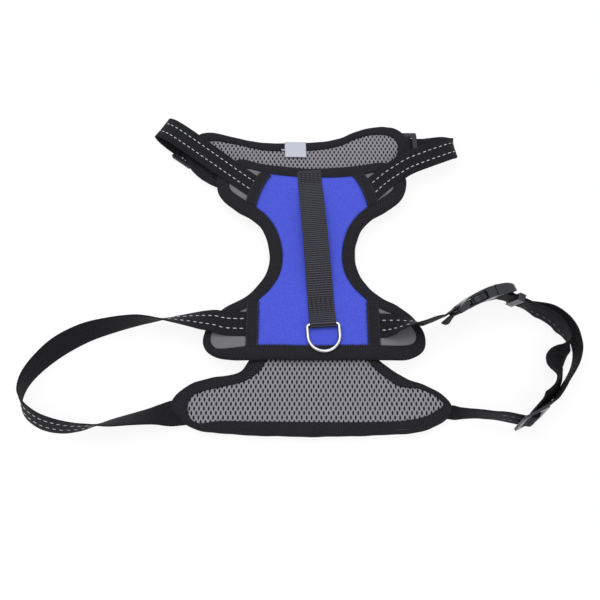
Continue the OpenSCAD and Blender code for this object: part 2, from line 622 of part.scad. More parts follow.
// Adjuster strap: gathered at the belly tip, behind the slider's outer bars and before its middle one,
// round to the plug, back on the inside with a slack bulge that leans inwards, and round the middle bar
function slider_station(p) = [slider_at + slider_dir([p[0], 0, p[1]]), slider_dir([0, 1, 0])];
pass_lean = asin((wrap_1 + wrap_2) / slider_pitch);
return_turn = -24;
gather_share = 0.53;
gather_from = 127;
gather_to = 146;
function gathered_w(x) = web_w * (gather_share
    + (1 - gather_share) * max(0, min(1, (x - gather_from) / (gather_to - gather_from))));
// straight lines to the slider, a distance before the bars that they touch
function tip_lead(d) = [wrap_1 * sin(pass_lean) - slider_pitch - d * cos(pass_lean),
    wrap_1 * cos(pass_lean) + d * sin(pass_lean)];
function return_lead(d) = [wrap_1 * sin(return_turn) + d * cos(return_turn),
    wrap_1 * cos(return_turn) - d * sin(return_turn)];

module adjuster_strap() {
    from_tip = [[106, -156.4, pocket_z, 180], [120, -157.4, pocket_z, 180], [126.6, -158, pocket_z + 0.1, 178],
        [133.2, -159.3, 7, 140], [141.4, -160.6, 10.6, 121], [148.1, -161.6, 12.9, 106],
        [154.1, -162.5, 13.9, 98], [162.9, -164, 15.6, 93]];
    through_slider = [for (p = concat([tip_lead(14), tip_lead(6)],
        bar_arc(0, wrap_2, 180 + pass_lean, 180 - pass_lean), bar_arc(slider_pitch, wrap_1, -pass_lean, 0),
        [[slider_end + 1, wrap_1 + 0.4]])) slider_station(p)];
    outer = [[216.8, -151.2, 13.2, 91], [224.3, -142.9, 13.2, 91], [231.2, -132.9, 13.2, 91],
        [238.3, -123.4, 13.2, 91], [244, -113.7, 13.2, 91], [247.7, -102.9, 13.2, 91],
        [248.3, -94.1, 13.2, 91], [246.9, -83, 13.2, 91], [242.4, -72.8, 13.2, 91],
        [234.8, -64.4, 13.2, 91], [225.5, -59, 13.2, 91]];
    plug_turn = [for (p = bar_turn(plug_bar, 1, plug_strap_drop, plug_straight)) buckle_station(p, 1)];
    inner = [[216.1, -60.1, 13.3, 88], [221.8, -63, 13.3, 88], [226.9, -66.6, 13.3, 88], [231.8, -71.2, 13.3, 88],
        [235.1, -76.4, 13.3, 88]];
    bulge = [[237.5, -81.6, 13.3, 57, -84], [239.5, -87.2, 13.2, 54, -78], [239.9, -92.2, 12.6, 34, -68],
        [238.4, -96.3, 11.4, 8, -56], [235.4, -100.1, 9, 2, -40], [231, -104.2, 7.7, 1, -32],
        [227.2, -109.2, 7.8, 4, -33], [225.4, -115.1, 9, 7, -40], [225.6, -120.4, 10.5, 11, -49],
        [225.8, -125, 11.1, 13, -54], [224, -130.4, 11.6, 14, -58], [219.6, -137, 12, 13, -59],
        [213.2, -143.2, 12.9, 11, -63], [206.8, -149, 14.6, 9, -70]];
    back_end = [for (p = concat([return_lead(13), return_lead(5)],
        [for (a = [return_turn:-18:return_turn - 198]) [wrap_1 * sin(a), wrap_1 * cos(a)]])) slider_station(p)];
    n = len(through_slider);
    m = len(plug_turn);
    tip = smooth(concat(stations(from_tip), [through_slider[0], through_slider[1]]));
    color("DimGray") strap(concat(
        [for (s = tip) [s[0], s[1], gathered_w(s[0].x)]],
        [for (i = [2:n - 3]) through_slider[i]],
        smooth(concat([through_slider[n - 2], through_slider[n - 1]], stations(outer), [plug_turn[0], plug_turn[1]])),
        [for (i = [2:m - 3]) plug_turn[i]],
        smooth(concat([plug_turn[m - 2], plug_turn[m - 1]], stations(inner), flat_stations(bulge),
            [back_end[0], back_end[1]])),
        [for (i = [2:len(back_end) - 1]) back_end[i]]));
}

chest_shell();
chest_foam();
chest_mesh();
chest_binding();
care_label();
back_lining();
back_foam();
back_cover();
back_binding();
lobe_front_left();
lobe_front_right();
lobe_rear_left();
lobe_rear_right();
facing_front_left();
facing_front_right();
facing_rear_left();
facing_rear_right();
handle_webbing();
lead_ring();
neck_strap_left();
neck_strap_right();
neck_slider_left();
neck_slider_right();
belly_strap_left();
buckle_strap();
buckle_socket();
buckle_plug();
release_arm_upper();
release_arm_lower();
adjuster_strap();
belly_slider();
strap_keeper();
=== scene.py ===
"""A vest harness for a pet, laid flat on a white floor: its cloth, webbing, thread and finishes."""
from math import asin, cos, degrees, pi, radians, sin

import bmesh
import bpy
import numpy as np
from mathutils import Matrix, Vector
from mathutils.geometry import delaunay_2d_cdt


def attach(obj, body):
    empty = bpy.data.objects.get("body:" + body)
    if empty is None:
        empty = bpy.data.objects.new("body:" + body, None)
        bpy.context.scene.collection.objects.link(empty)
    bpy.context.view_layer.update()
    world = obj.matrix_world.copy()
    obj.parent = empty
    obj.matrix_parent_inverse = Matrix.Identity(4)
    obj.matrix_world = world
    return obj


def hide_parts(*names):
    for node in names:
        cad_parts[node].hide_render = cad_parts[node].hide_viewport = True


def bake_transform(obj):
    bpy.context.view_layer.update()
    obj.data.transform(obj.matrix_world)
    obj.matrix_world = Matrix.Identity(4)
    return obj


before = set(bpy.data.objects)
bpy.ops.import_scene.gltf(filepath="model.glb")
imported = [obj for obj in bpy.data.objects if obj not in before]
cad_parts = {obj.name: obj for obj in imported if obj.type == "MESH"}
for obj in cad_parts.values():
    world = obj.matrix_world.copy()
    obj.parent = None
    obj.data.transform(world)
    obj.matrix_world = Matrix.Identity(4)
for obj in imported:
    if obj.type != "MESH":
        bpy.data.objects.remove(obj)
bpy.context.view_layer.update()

# Sizes and places are in millimetres, as in the part's source, and become metres in make_piece
MM = 0.001
WEB_W, WEB_T, WEB_GAP = 25.0, 1.4, 0.25
CHEST_H, BACK_H, PANEL_GAP = 9.4, 6.8, 0.4
BACK_Z = CHEST_H + PANEL_GAP
BACK_TOP = BACK_Z + BACK_H
STRAP_Z = BACK_TOP + WEB_GAP + WEB_T / 2
FOAM_TOP = CHEST_H - 3.3
POCKET_Z = 4.1
FLOOR_Z = -1.95
# how far cloth is tucked under the binding, and how far foam stays inside the edge
TUCK, FOAM_INSET, CLOTH_T = 2.2, 1.8, 1.6
# where the blue cloth meets the grey lobes, in front of the waist and behind it
FRONT_CUT_X, FRONT_CUT_Y, FRONT_SLOPE, REAR_CUT_X, WAIST_Y = 36.3, 130.0, 0.375, 58.0, 10.0

# Sliders with three bars
SLIDER_R, SLIDER_PITCH = 1.2, 9.5
SLIDER_END = SLIDER_PITCH + 3.9
SLIDER_HALF_W = WEB_W / 2 + 5.4
WRAP_1 = SLIDER_R + WEB_GAP + WEB_T / 2
WRAP_2 = WRAP_1 + WEB_T + WEB_GAP
STRAP_END_X = 30.0
NECK_LEFT_AT, NECK_LEFT_TURN = np.array([-131, 134.5, 3.2]), -38.0
NECK_RIGHT_AT, NECK_RIGHT_TURN = np.array([103, 141.5, 3.2]), 180.0
SLIDER_AT, SLIDER_ANGLES = np.array([194.1, -166.9, 18.2]), (-93.0, 0.0, 26.0)
# the right neck strap is pulled narrower where it folds
FOLD_PULL, FOLD_FROM, FOLD_RUN = 2.6, 147.0, 5.0

# Buckle, bent along its length, with a strap bar at each end
BUCKLE_AT, BUCKLE_LEAN, BUCKLE_TURN = np.array([170, -44.2, 19.6]), 74.0, 25.0
BEND_R, BAR_R = 90.0, 2.0
SOCKET_BAR, SOCKET_DROP = np.array([-35.9, 0, -(23.9 ** 2) / (2 * BEND_R)]), 2.0
PLUG_BAR, PLUG_DROP = np.array([9, 0, -3.6]), 46.0
BAR_WRAP = BAR_R + WEB_GAP + WEB_T / 2
SOCKET_STRAIGHT, PLUG_STRAIGHT, DOUBLE_OFF = 22.0, 27.25, (WEB_T + 0.6) / 2
# distance from the socket's bar, offset and turn of the loose strap end
SOCKET_SLACK = ((4, 1.7, 3), (7, 3, 9), (10, 4.1, 14), (13, 4, 14), (16, 2.6, 7))
RETURN_TURN, RETURN_ARC = -24.0, 198.0
# the adjuster strap is gathered into the seam at the belly tip
GATHER_SHARE, GATHER_FROM, GATHER_TO = 0.53, 130.0, 168.0

# Handle and lead ring
RING_AT, RING_R, HANDLE_TURN = (9.5, -77.0), 1.7, 4.0
RING_WRAP = RING_R + WEB_GAP + WEB_T / 2

# Stitches: the pitch of a row, and length, width and height of one
EDGE_PITCH = 3.2
EDGE_STITCH = (0.72 * EDGE_PITCH, 0.55, 0.45)
SEAM_PITCH, SEAM_STITCH = 2.6, (1.9, 0.55, 0.5)
LADDER_PITCH, LADDER_STITCH, BLUE_EDGE_STITCH = 2.3, (2.6, 1.0, 0.9), (2.8, 1.0, 1.0)
TACK_PITCH, TACK_STITCH = 1.75, (1.7, 0.5, 0.45)
DASH_PITCH, DASH = 6.3, (4.4, 0.85, 0.6)
HANDLE_STITCH = (3.1, 1.1, 0.7)

# Patterns as laid out: from the neck end down the right side, and from the belly end up the left
BACK_EDGE = [(0, 104), (28, 105.5), (54, 108.5), (74, 112), (89, 107), (98, 95), (98.5, 82),
    (93, 67), (77, 52.5), (61, 42), (50, 30), (44, 14), (42, -3), (44.5, -19), (53, -34), (66, -47),
    (83, -57), (97, -70), (105, -86), (103.5, -100), (92, -108.5), (74, -110), (40, -109.5),
    (0, -110), (-40, -109.5), (-72.5, -110), (-88, -108), (-99.5, -101), (-103, -88), (-96.5, -71),
    (-83, -57), (-66, -47), (-53, -34), (-44.5, -19), (-42, -3), (-44, 14), (-50, 30), (-61, 42),
    (-77, 52.5), (-93, 67), (-98.5, 82), (-98, 95), (-89, 109.5), (-74.5, 116), (-54, 110.5),
    (-28, 106.5)]
BACK_FIELD = [(0.5, 93), (28, 93), (52, 96), (72, 99.5), (83, 95), (87, 85), (84, 75), (72, 65),
    (58, 54.5), (46, 43), (37, 28), (32, 11), (30.5, -5), (33, -21), (40, -35), (50, -46.5),
    (64, -58), (80, -66), (92, -75), (98, -86), (95, -95), (84, -98), (50, -97.5), (0, -98),
    (-50, -97.5), (-84.5, -101), (-93.5, -98.5), (-97, -89), (-92, -75), (-80, -66), (-64, -58),
    (-50, -46.5), (-40, -35), (-33, -21), (-30.5, -5), (-32, 11), (-37, 28), (-46, 43), (-58, 54.5),
    (-72, 65), (-84, 75), (-87, 85), (-83.5, 97), (-70.5, 104), (-46.5, 98), (-28, 95)]
CHEST_EDGE = [(-14.5, 143.5), (13, 145.5), (33, 150.5), (48.5, 158.5), (64.5, 164), (81.5, 165.5),
    (96, 159.5), (104.5, 147), (106, 132.5), (100.5, 116), (85.5, 100), (62, 86), (38.5, 67),
    (23.5, 42.5), (21, 12.5), (24, -21.5), (32, -56), (44, -82.5), (59.5, -105.5), (72, -116.5),
    (87.5, -127), (105, -134), (119.5, -143), (126, -153.5), (121, -163.5), (107, -172),
    (89.5, -176.5), (59.5, -178.5), (27.5, -179.5), (-0.5, -180), (-29, -179.5), (-60, -178.5),
    (-91, -176), (-108, -172.5), (-122, -164), (-130.5, -153.5), (-125.5, -141.5), (-112, -131),
    (-93, -125.5), (-70.5, -121), (-60, -109), (-46, -84.5), (-38, -56), (-35.5, -22), (-37, 11.5),
    (-44.5, 41.5), (-61.5, 65), (-86, 82), (-110.5, 94), (-127.5, 108), (-134, 123.5),
    (-133.5, 137), (-126, 150.5), (-113, 158), (-95.5, 154.5), (-79, 149.5), (-63.5, 145.5),
    (-43, 143.5)]
CHEST_FIELD = [(-14, 132.5), (11.5, 134.5), (31.5, 139.5), (47, 147.5), (61, 153), (77, 154.5),
    (89, 151), (95, 141.5), (94, 129), (87.5, 116.5), (73, 103.5), (51.5, 90), (28.5, 67),
    (13.5, 42.5), (9, 12), (14, -22), (23, -56), (37, -86), (49.5, -106), (58, -116.5),
    (69, -126.5), (80.5, -134), (97, -136), (111, -142.5), (119.5, -151.5), (113.5, -157.5),
    (102, -163.5), (84, -167.5), (49, -169), (-1, -169), (-51, -168.5), (-84.5, -168),
    (-102.5, -170), (-112, -165), (-115.5, -154.5), (-112.5, -144.5), (-102.5, -138.5),
    (-86, -134.5), (-64.5, -129), (-51, -119.5), (-43.5, -106.5), (-31.5, -86), (-28, -56),
    (-25.5, -22), (-27, 12), (-34.5, 41.5), (-51.5, 65), (-76.5, 86), (-99, 98.5), (-114.5, 109.5),
    (-122, 121), (-124, 132.5), (-119, 143), (-105.5, 146), (-89, 143), (-75, 139.5), (-59, 135),
    (-40.5, 132.5)]


# Curves and outlines

def spline(points, steps, closed=False):
    """A smooth curve through points, with steps samples from each to the next."""
    p = np.asarray(points, float)
    n = len(p)
    out = []
    for i in range(n if closed else n - 1):
        a, b = (p[i - 1], p[i]) if closed or i else (p[0], p[0])
        c = p[(i + 1) % n]
        d = p[(i + 2) % n] if closed or i + 2 < n else p[-1]
        for k in range(steps):
            t = k / steps
            out.append((2 * b + (c - a) * t + (2 * a - 5 * b + 4 * c - d) * t ** 2
                + (3 * b - a - 3 * c + d) * t ** 3) / 2)
    return np.array(out if closed else out + [p[-1]])


OUTLINE_STEPS = 9
back_edge, back_field, chest_edge, chest_field = (spline(pattern, OUTLINE_STEPS, True)
    for pattern in (BACK_EDGE, BACK_FIELD, CHEST_EDGE, CHEST_FIELD))


def unit(v):
    """A direction, or a row of them, at length 1."""
    v = np.asarray(v, float)
    return v / np.linalg.norm(v, axis=-1, keepdims=True)


def run_along(points):
    """The distance along a row of points, from the first to each of them."""
    return np.concatenate([[0], np.cumsum(np.linalg.norm(np.diff(points, axis=0), axis=1))])


def at_distance(at, run, values):
    """Values that are given along a run, read at other distances."""
    return np.stack([np.interp(at, run, column) for column in values.T], 1)


def at_height(plan, z):
    """Places in plan, put at one height or at a height each."""
    return np.column_stack([plan, np.broadcast_to(z, len(plan))])


def headings(loop):
    """The direction of a closed loop at each of its points."""
    return unit(np.roll(loop, -1, 0) - np.roll(loop, 1, 0))


def inwards_of(loop):
    """The way inwards at each point of a clockwise loop."""
    t = headings(loop)
    return np.stack([t[:, 1], -t[:, 0]], 1)


def inset(outline, by):
    """A clockwise outline moved inwards."""
    return outline + by * inwards_of(outline)


def inside(points, outline):
    """Which points lie inside an outline."""
    x, y = points[:, :1], points[:, 1:2]
    a, b = outline, np.roll(outline, -1, 0)
    spans = (a[:, 1] > y) != (b[:, 1] > y)
    rise = np.where(b[:, 1] == a[:, 1], 1e-9, b[:, 1] - a[:, 1])
    return (spans & (x < (b[:, 0] - a[:, 0]) * (y - a[:, 1]) / rise + a[:, 0])).sum(1) % 2 == 1


def distance_to(points, outline, batch=2000):
    """How far each point is from an outline."""
    a, b = outline, np.roll(outline, -1, 0)
    ab = b - a
    out = np.empty(len(points))
    for i in range(0, len(points), batch):
        ap = points[i:i + batch, None] - a
        t = np.clip((ap * ab).sum(2) / (ab * ab).sum(1), 0, 1)
        out[i:i + batch] = np.sqrt(((ap - t[..., None] * ab) ** 2).sum(2)).min(1)
    return out


def facing_points(edge, field, search=45, soften=10):
    """The place on the field line that lies squarely across the tape from each edge point."""
    n = len(edge)
    window = np.arange(-search, search + 1)
    shift = np.empty(n)
    for i in range(n):
        gap = ((field[(i + window) % n] - edge[i]) ** 2).sum(1)
        shift[i] = window[np.argmin(gap)]
    soft = np.mean([np.roll(shift, k) for k in range(-soften, soften + 1)], 0)
    at = np.maximum.accumulate(np.arange(n) + soft) % n
    low = np.floor(at).astype(int) % n
    part = (at - np.floor(at))[:, None]
    return field[low] * (1 - part) + field[(low + 1) % n] * part


back_across = facing_points(back_edge, back_field)
chest_across = facing_points(chest_edge, chest_field)


def ease(t):
    """A smooth step from 0 to 1."""
    t = np.clip(t, 0, 1)
    return t * t * (3 - 2 * t)


def ripple(x, y, scale):
    """A gentle fixed unevenness between -1 and 1."""
    one = np.sin(x / scale + 1.3 * np.sin(y / scale * 0.7))
    other = np.sin(y / scale * 1.3 + 2 + np.sin(x / scale * 0.6))
    return (one + other) / 2


# Mesh makers

def make_piece(name, points, faces, material, uv=None):
    """A mesh object from places in millimetres and faces, with weave coordinates in metres."""
    mesh = bpy.data.meshes.new(name)
    mesh.from_pydata((np.asarray(points, float) * MM).tolist(), [], [list(f) for f in faces])
    mesh.materials.append(material)
    mesh.polygons.foreach_set("use_smooth", [True] * len(mesh.polygons))
    if uv is not None:
        layer = mesh.uv_layers.new(name="weave")
        loops = np.empty(len(mesh.loops), int)
        mesh.loops.foreach_get("vertex_index", loops)
        layer.data.foreach_set("uv", np.asarray(uv, np.float32)[loops].ravel())
    mesh.update()
    piece = bpy.data.objects.new(name, mesh)
    bpy.context.collection.objects.link(piece)
    return piece


def apply_modifiers(piece):
    """Turns a piece with modifiers into a plain mesh."""
    graph = bpy.context.evaluated_depsgraph_get()
    mesh = bpy.data.meshes.new_from_object(
        piece.evaluated_get(graph), preserve_all_data_layers=True, depsgraph=graph)
    piece.modifiers.clear()
    piece.data = mesh
    return piece


def quads(rows, width, closed=True):
    """Faces between rows of points, with each row closed to a ring or left open."""
    out = []
    for a in range(0, (rows - 1) * width, width):
        for k in range(width if closed else width - 1):
            after = (k + 1) % width
            out.append((a + k, a + after, a + width + after, a + width + k))
    return out


def fill_outline(outline, spacing):
    """Triangles that fill an outline, with an even grid of points inside."""
    row_pitch, clear_of_rim, merge = spacing * 0.87, spacing * 0.5, 1e-4
    low, high = outline.min(0), outline.max(0)
    xs = np.arange(low[0], high[0], spacing)
    ys = np.arange(low[1], high[1], row_pitch)
    grid = np.array([(x + (j % 2) * spacing / 2, y) for j, y in enumerate(ys) for x in xs])
    grid = grid[inside(grid, outline)]
    grid = grid[distance_to(grid, outline) > clear_of_rim]
    n = len(outline)
    edges = [(i, (i + 1) % n) for i in range(n)]
    points = [Vector(p) for p in np.vstack([outline, grid])]
    flat, _, faces, *_ = delaunay_2d_cdt(points, edges, [], 1, merge)
    flat = np.array([tuple(p) for p in flat])
    tris = []
    for f in faces:
        a, b, c = (flat[k] for k in f)
        turn = (b[0] - a[0]) * (c[1] - a[1]) - (b[1] - a[1]) * (c[0] - a[0])
        tris.append(tuple(f) if turn > 0 else tuple(reversed(f)))
    return flat, tris


def rim_of(faces):
    """The open edges of a set of faces."""
    seen = {(a, b): True for f in faces for a, b in zip(f, f[1:] + f[:1])}
    return [(a, b) for a, b in seen if (b, a) not in seen]


def closed_pad(name, flat, tris, z_low, z_high, material):
    """A closed pad between two height fields over the same triangles."""
    used = sorted({i for f in tris for i in f})
    at = {i: k for k, i in enumerate(used)}
    n = len(used)
    points = np.vstack([at_height(flat, z)[used] for z in (z_high, z_low)])
    faces = [tuple(at[i] for i in f) for f in tris]
    faces += [tuple(at[i] + n for i in reversed(f)) for f in tris]
    faces += [(at[b], at[a], at[a] + n, at[b] + n) for a, b in rim_of(tris)]
    return make_piece(name, points, faces, material)


def frames(stations):
    """Place, heading, side and face direction at each strap station, and the length up to it."""
    place = np.array([s[0] for s in stations], float)
    across = np.array([s[1] for s in stations], float)
    along = unit(np.vstack([place[1] - place[0], place[2:] - place[:-2], place[-1] - place[-2]]))
    face = unit(np.cross(across, along))
    side = np.cross(along, face)
    return place, along, side, face, run_along(place)


# shares of the width and of the thickness, round the section
WEB_SECTION = [(-0.5, 0), (-0.494, 0.3), (-0.475, 0.46), (-0.25, 0.5), (0, 0.5), (0.25, 0.5),
    (0.475, 0.46), (0.494, 0.3), (0.5, 0), (0.494, -0.3), (0.475, -0.46), (0.25, -0.5), (0, -0.5),
    (-0.25, -0.5), (-0.475, -0.46), (-0.494, -0.3)]


def webbing(name, stations, material, width=WEB_W, thick=WEB_T):
    """A flat web with soft selvedges, swept through stations that may give a narrower width."""
    place, _, side, face, run = frames(stations)
    n, m = len(place), len(WEB_SECTION)
    points, uv = [], []
    for i in range(n):
        here = stations[i][2] if len(stations[i]) > 2 else width
        for a, b in WEB_SECTION:
            points.append(place[i] + side[i] * a * here + face[i] * b * thick)
            uv.append((run[i] * MM, a * width * MM))
    faces = quads(n, m) + [tuple(range(m - 1, -1, -1)), tuple(range((n - 1) * m, n * m))]
    return make_piece(name, points, [tuple(reversed(f)) for f in faces], material, uv)


# Node trees for what repeats

def tree_with(name, **inputs):
    """A node tree with named inputs, its input node, and the calls that add and join nodes."""
    tree = bpy.data.node_groups.new(name, "GeometryNodeTree")
    tree.interface.new_socket("Geometry", in_out="INPUT", socket_type="NodeSocketGeometry")
    for label, kind in inputs.items():
        label = label.replace("_", " ")
        tree.interface.new_socket(label, in_out="INPUT", socket_type="NodeSocket" + kind)
    tree.interface.new_socket("Geometry", in_out="OUTPUT", socket_type="NodeSocketGeometry")
    return tree, tree.nodes.new("NodeGroupInput"), tree.nodes.new, tree.links.new


def chain(tree, given, *kinds):
    """Geometry nodes in a row from the tree's input to its output, each fed by the one before."""
    nodes = [given]
    for kind in [*("GeometryNode" + kind for kind in kinds), "NodeGroupOutput"]:
        nodes.append(tree.nodes.new(kind))
        tree.links.new(nodes[-2].outputs[0], nodes[-1].inputs[0])
    return nodes[1:-1]


def stitch_tree():
    """One rounded stitch on every point, lying along 'along' with 'up' away from the cloth."""
    tree, given, add, link = tree_with("rows_of_stitches", Stitch_Length="Float",
        Stitch_Width="Float", Stitch_Height="Float", Thread="Material")
    place, _, _, paint = chain(
        tree, given, "InstanceOnPoints", "RealizeInstances", "SetShadeSmooth", "SetMaterial")
    turn = add("FunctionNodeAxesToRotation")
    turn.primary_axis, turn.secondary_axis = "Z", "X"
    for socket, name in zip(turn.inputs, ("up", "along")):
        direction = add("GeometryNodeInputNamedAttribute")
        direction.data_type = "FLOAT_VECTOR"
        direction.inputs["Name"].default_value = name
        link(direction.outputs[0], socket)
    bead = add("GeometryNodeMeshUVSphere")
    for label, value in (("Segments", 6), ("Rings", 4), ("Radius", 0.5)):
        bead.inputs[label].default_value = value
    size = add("ShaderNodeCombineXYZ")
    for axis, label in zip("XYZ", ("Stitch Length", "Stitch Width", "Stitch Height")):
        link(given.outputs[label], size.inputs[axis])
    link(bead.outputs["Mesh"], place.inputs["Instance"])
    link(turn.outputs[0], place.inputs["Rotation"])
    link(size.outputs[0], place.inputs["Scale"])
    link(given.outputs["Thread"], paint.inputs["Material"])
    return tree


def net_tree():
    """One mesh cell on every point, let down on to the pad below it."""
    tree, given, add, link = tree_with(
        "air_mesh_net", Cell="Object", Pad="Object", Drop_From="Float", Cloth="Material")
    place, _, weld, move, _, paint = chain(tree, given, "InstanceOnPoints", "RealizeInstances",
        "MergeByDistance", "SetPosition", "SetShadeSmooth", "SetMaterial")
    weld.inputs["Distance"].default_value = 0.02 * MM
    cell, below = add("GeometryNodeObjectInfo"), add("GeometryNodeObjectInfo")
    here, ray, height = (
        add("GeometryNodeInputPosition"), add("GeometryNodeRaycast"), add("ShaderNodeMath"))
    split, hit = add("ShaderNodeSeparateXYZ"), add("ShaderNodeSeparateXYZ")
    start, end = add("ShaderNodeCombineXYZ"), add("ShaderNodeCombineXYZ")
    ray.inputs["Ray Direction"].default_value = (0, 0, -1)
    ray.inputs["Ray Length"].default_value = 1
    link(given.outputs["Cell"], cell.inputs["Object"])
    link(given.outputs["Pad"], below.inputs["Object"])
    link(cell.outputs["Geometry"], place.inputs["Instance"])
    link(here.outputs[0], split.inputs[0])
    for axis in "XY":
        link(split.outputs[axis], start.inputs[axis])
        link(split.outputs[axis], end.inputs[axis])
    link(given.outputs["Drop From"], start.inputs["Z"])
    link(below.outputs["Geometry"], ray.inputs["Target Geometry"])
    link(start.outputs[0], ray.inputs["Source Position"])
    link(ray.outputs["Hit Position"], hit.inputs[0])
    link(hit.outputs["Z"], height.inputs[0])
    link(split.outputs["Z"], height.inputs[1])
    link(height.outputs[0], end.inputs["Z"])
    link(end.outputs[0], move.inputs["Position"])
    link(given.outputs["Cloth"], paint.inputs["Material"])
    return tree


def grow(piece, tree, **values):
    """Runs a node tree on a piece, with its named inputs set, and keeps a plain mesh."""
    modifier = piece.modifiers.new("grow", "NODES")
    modifier.node_group = tree
    for item in tree.interface.items_tree:
        if item.in_out == "INPUT" and item.name in values:
            modifier[item.identifier] = values[item.name]
    bpy.context.view_layer.update()
    return apply_modifiers(piece)


def stitches(name, places, along, size, thread, up=None):
    """Rows of stitches as one piece, which lie level where no upward direction is given."""
    piece = make_piece(name, places, [], thread)
    upright = np.tile((0, 0, 1), (len(places), 1))
    for label, values in (("along", along), ("up", upright if up is None else up)):
        layer = piece.data.attributes.new(label, "FLOAT_VECTOR", "POINT")
        layer.data.foreach_set("vector", np.asarray(values, np.float32).ravel())
    length, width, height = (s * MM for s in size)
    return grow(piece, STITCH_TREE, **{"Stitch Length": length, "Stitch Width": width,
        "Stitch Height": height, "Thread": thread})


def rows_on_web(stations, offsets, pitch, side_up, span):
    """Places, headings and upward directions of stitches in rows on one face of a strap.

    The span counts from the strap's start, or from its end where negative.
    """
    place, along, side, face, run = frames(stations)
    first, last = (v if v >= 0 else run[-1] + v for v in span)
    at = np.arange(first + pitch / 2, last, pitch)
    p, *ways = (at_distance(at, run, values) for values in (place, along, side, face))
    t, s, f = (unit(way) for way in ways)
    f = f * side_up
    rows = np.vstack([p + s * o + f * (WEB_T / 2) for o in offsets])
    return rows, np.vstack([t] * len(offsets)), np.vstack([f] * len(offsets))


# Finishes

def finish(name, colour, roughness, **sockets):
    """A material and its shader, with some of the shader's sockets set."""
    mat = bpy.data.materials.new(name)
    mat.use_nodes = True
    shader = mat.node_tree.nodes["Principled BSDF"]
    shader.inputs["Base Color"].default_value = (*colour, 1)
    shader.inputs["Roughness"].default_value = roughness
    for label, value in sockets.items():
        shader.inputs[label.replace("_", " ")].default_value = value
    return mat, shader


def shader_node(owner, kind, **values):
    """A shader node of a material or the world, with some of its sockets set."""
    node = owner.node_tree.nodes.new("ShaderNode" + kind)
    for label, value in values.items():
        node.inputs[label].default_value = value
    return node


def join(owner, out, into):
    """Links two sockets of a material or the world."""
    owner.node_tree.links.new(out, into)


def calc(owner, what, *terms):
    """One step of arithmetic on sockets and numbers."""
    node = shader_node(owner, "Math")
    node.operation = what
    for socket, term in zip(node.inputs, terms):
        if isinstance(term, (int, float)):
            socket.default_value = term
        else:
            join(owner, term, socket)
    return node.outputs[0]


def weigh(mat, one, one_share, other, other_share):
    """The sum of two heights, each in its share."""
    first, second = calc(mat, "MULTIPLY", one, one_share), calc(mat, "MULTIPLY", other, other_share)
    return calc(mat, "ADD", first, second)


def weave_axes(mat):
    """The cloth's own coordinates in metres: along it, and across it."""
    uv, split = shader_node(mat, "UVMap"), shader_node(mat, "SeparateXYZ")
    uv.uv_map = "weave"
    join(mat, uv.outputs[0], split.inputs[0])
    return split.outputs["X"], split.outputs["Y"]


def noise(mat, scale, detail=2.0):
    """A noise on the piece's own coordinates, with so many features to the metre."""
    grain = shader_node(mat, "TexNoise", Scale=scale, Detail=detail)
    join(mat, shader_node(mat, "TexCoord").outputs["Object"], grain.inputs["Vector"])
    return grain.outputs[0]


# the sockets that a Mix node uses for colours, which share their names with others
MIX_LOW, MIX_HIGH, MIX_RESULT = 6, 7, 2


def tint(mat, shader, amount, low, high):
    """Colour from low to high by an amount between 0 and 1."""
    mix = shader_node(mat, "Mix")
    mix.data_type = "RGBA"
    mix.inputs[MIX_LOW].default_value = (*low, 1)
    mix.inputs[MIX_HIGH].default_value = (*high, 1)
    join(mat, amount, mix.inputs["Factor"])
    join(mat, mix.outputs[MIX_RESULT], shader.inputs["Base Color"])


def raise_by(mat, shader, height, depth):
    """Bump, with depth in millimetres."""
    bump = shader_node(mat, "Bump", Strength=1.0, Distance=depth * MM)
    join(mat, height, bump.inputs["Height"])
    join(mat, bump.outputs[0], shader.inputs["Normal"])
    return bump


def wave(mat, value, pitch):
    """A sine from 0 to 1 with a pitch in millimetres."""
    phase = calc(mat, "MULTIPLY", value, 2 * pi / (pitch * MM))
    return calc(mat, "MULTIPLY_ADD", calc(mat, "SINE", phase), 0.5, 0.5)


def shaded(mat, shader, height, low, high, depth):
    """The material, with its colour and bump by one height."""
    tint(mat, shader, height, low, high)
    raise_by(mat, shader, height, depth)
    return mat


def ribbed_web(name, low, high, pitch, sharpness=3.0, yarn_pitch=1.3):
    """Webbing with ribs across it and yarns along it; the rib crests are tinted lighter, a painted
    highlight.
    """
    mat, shader = finish(name, low, 0.7, Specular_IOR_Level=0.1, Sheen_Weight=0.02)
    along, across = weave_axes(mat)
    # the ribs are the weave itself; their lighter crests are a painted highlight
    rib = calc(mat, "POWER", wave(mat, along, pitch), sharpness)
    yarn = calc(mat, "MULTIPLY", wave(mat, across, yarn_pitch), noise(mat, 1800))
    return shaded(mat, shader, weigh(mat, rib, 0.7, yarn, 0.5), low, high, depth=0.4)


def herringbone_tape(name, low, high, turn_back=3.2, pitch=2.3, sharpness=2.0):
    """Binding tape with a twill that turns back every few millimetres."""
    mat, shader = finish(name, low, 0.85, Specular_IOR_Level=0.06, Sheen_Weight=0.02)
    along, across = weave_axes(mat)
    zigzag = calc(mat, "PINGPONG", across, turn_back * MM)
    twill = calc(mat, "POWER", wave(mat, calc(mat, "ADD", along, zigzag), pitch), sharpness)
    return shaded(mat, shader, weigh(mat, twill, 0.6, noise(mat, 900), 0.45), low, high, depth=0.3)


def napped_cloth(name, low, high):
    """Soft cloth with a fine nap and a broader shade."""
    mat, shader = finish(name, low, 0.9, Specular_IOR_Level=0.1, Sheen_Weight=0.06)
    nap = weigh(mat, noise(mat, 1400, 3.0), 0.5, noise(mat, 640), 0.5)
    return shaded(mat, shader, nap, low, high, depth=0.12)


def grained(name, low, high, roughness, scale, detail, depth, **sockets):
    """A finish whose colour and bump follow one fine grain, and the node of its bump."""
    mat, shader = finish(name, low, roughness, **sockets)
    grain = noise(mat, scale, detail)
    tint(mat, shader, grain, low, high)
    return mat, raise_by(mat, shader, grain, depth)


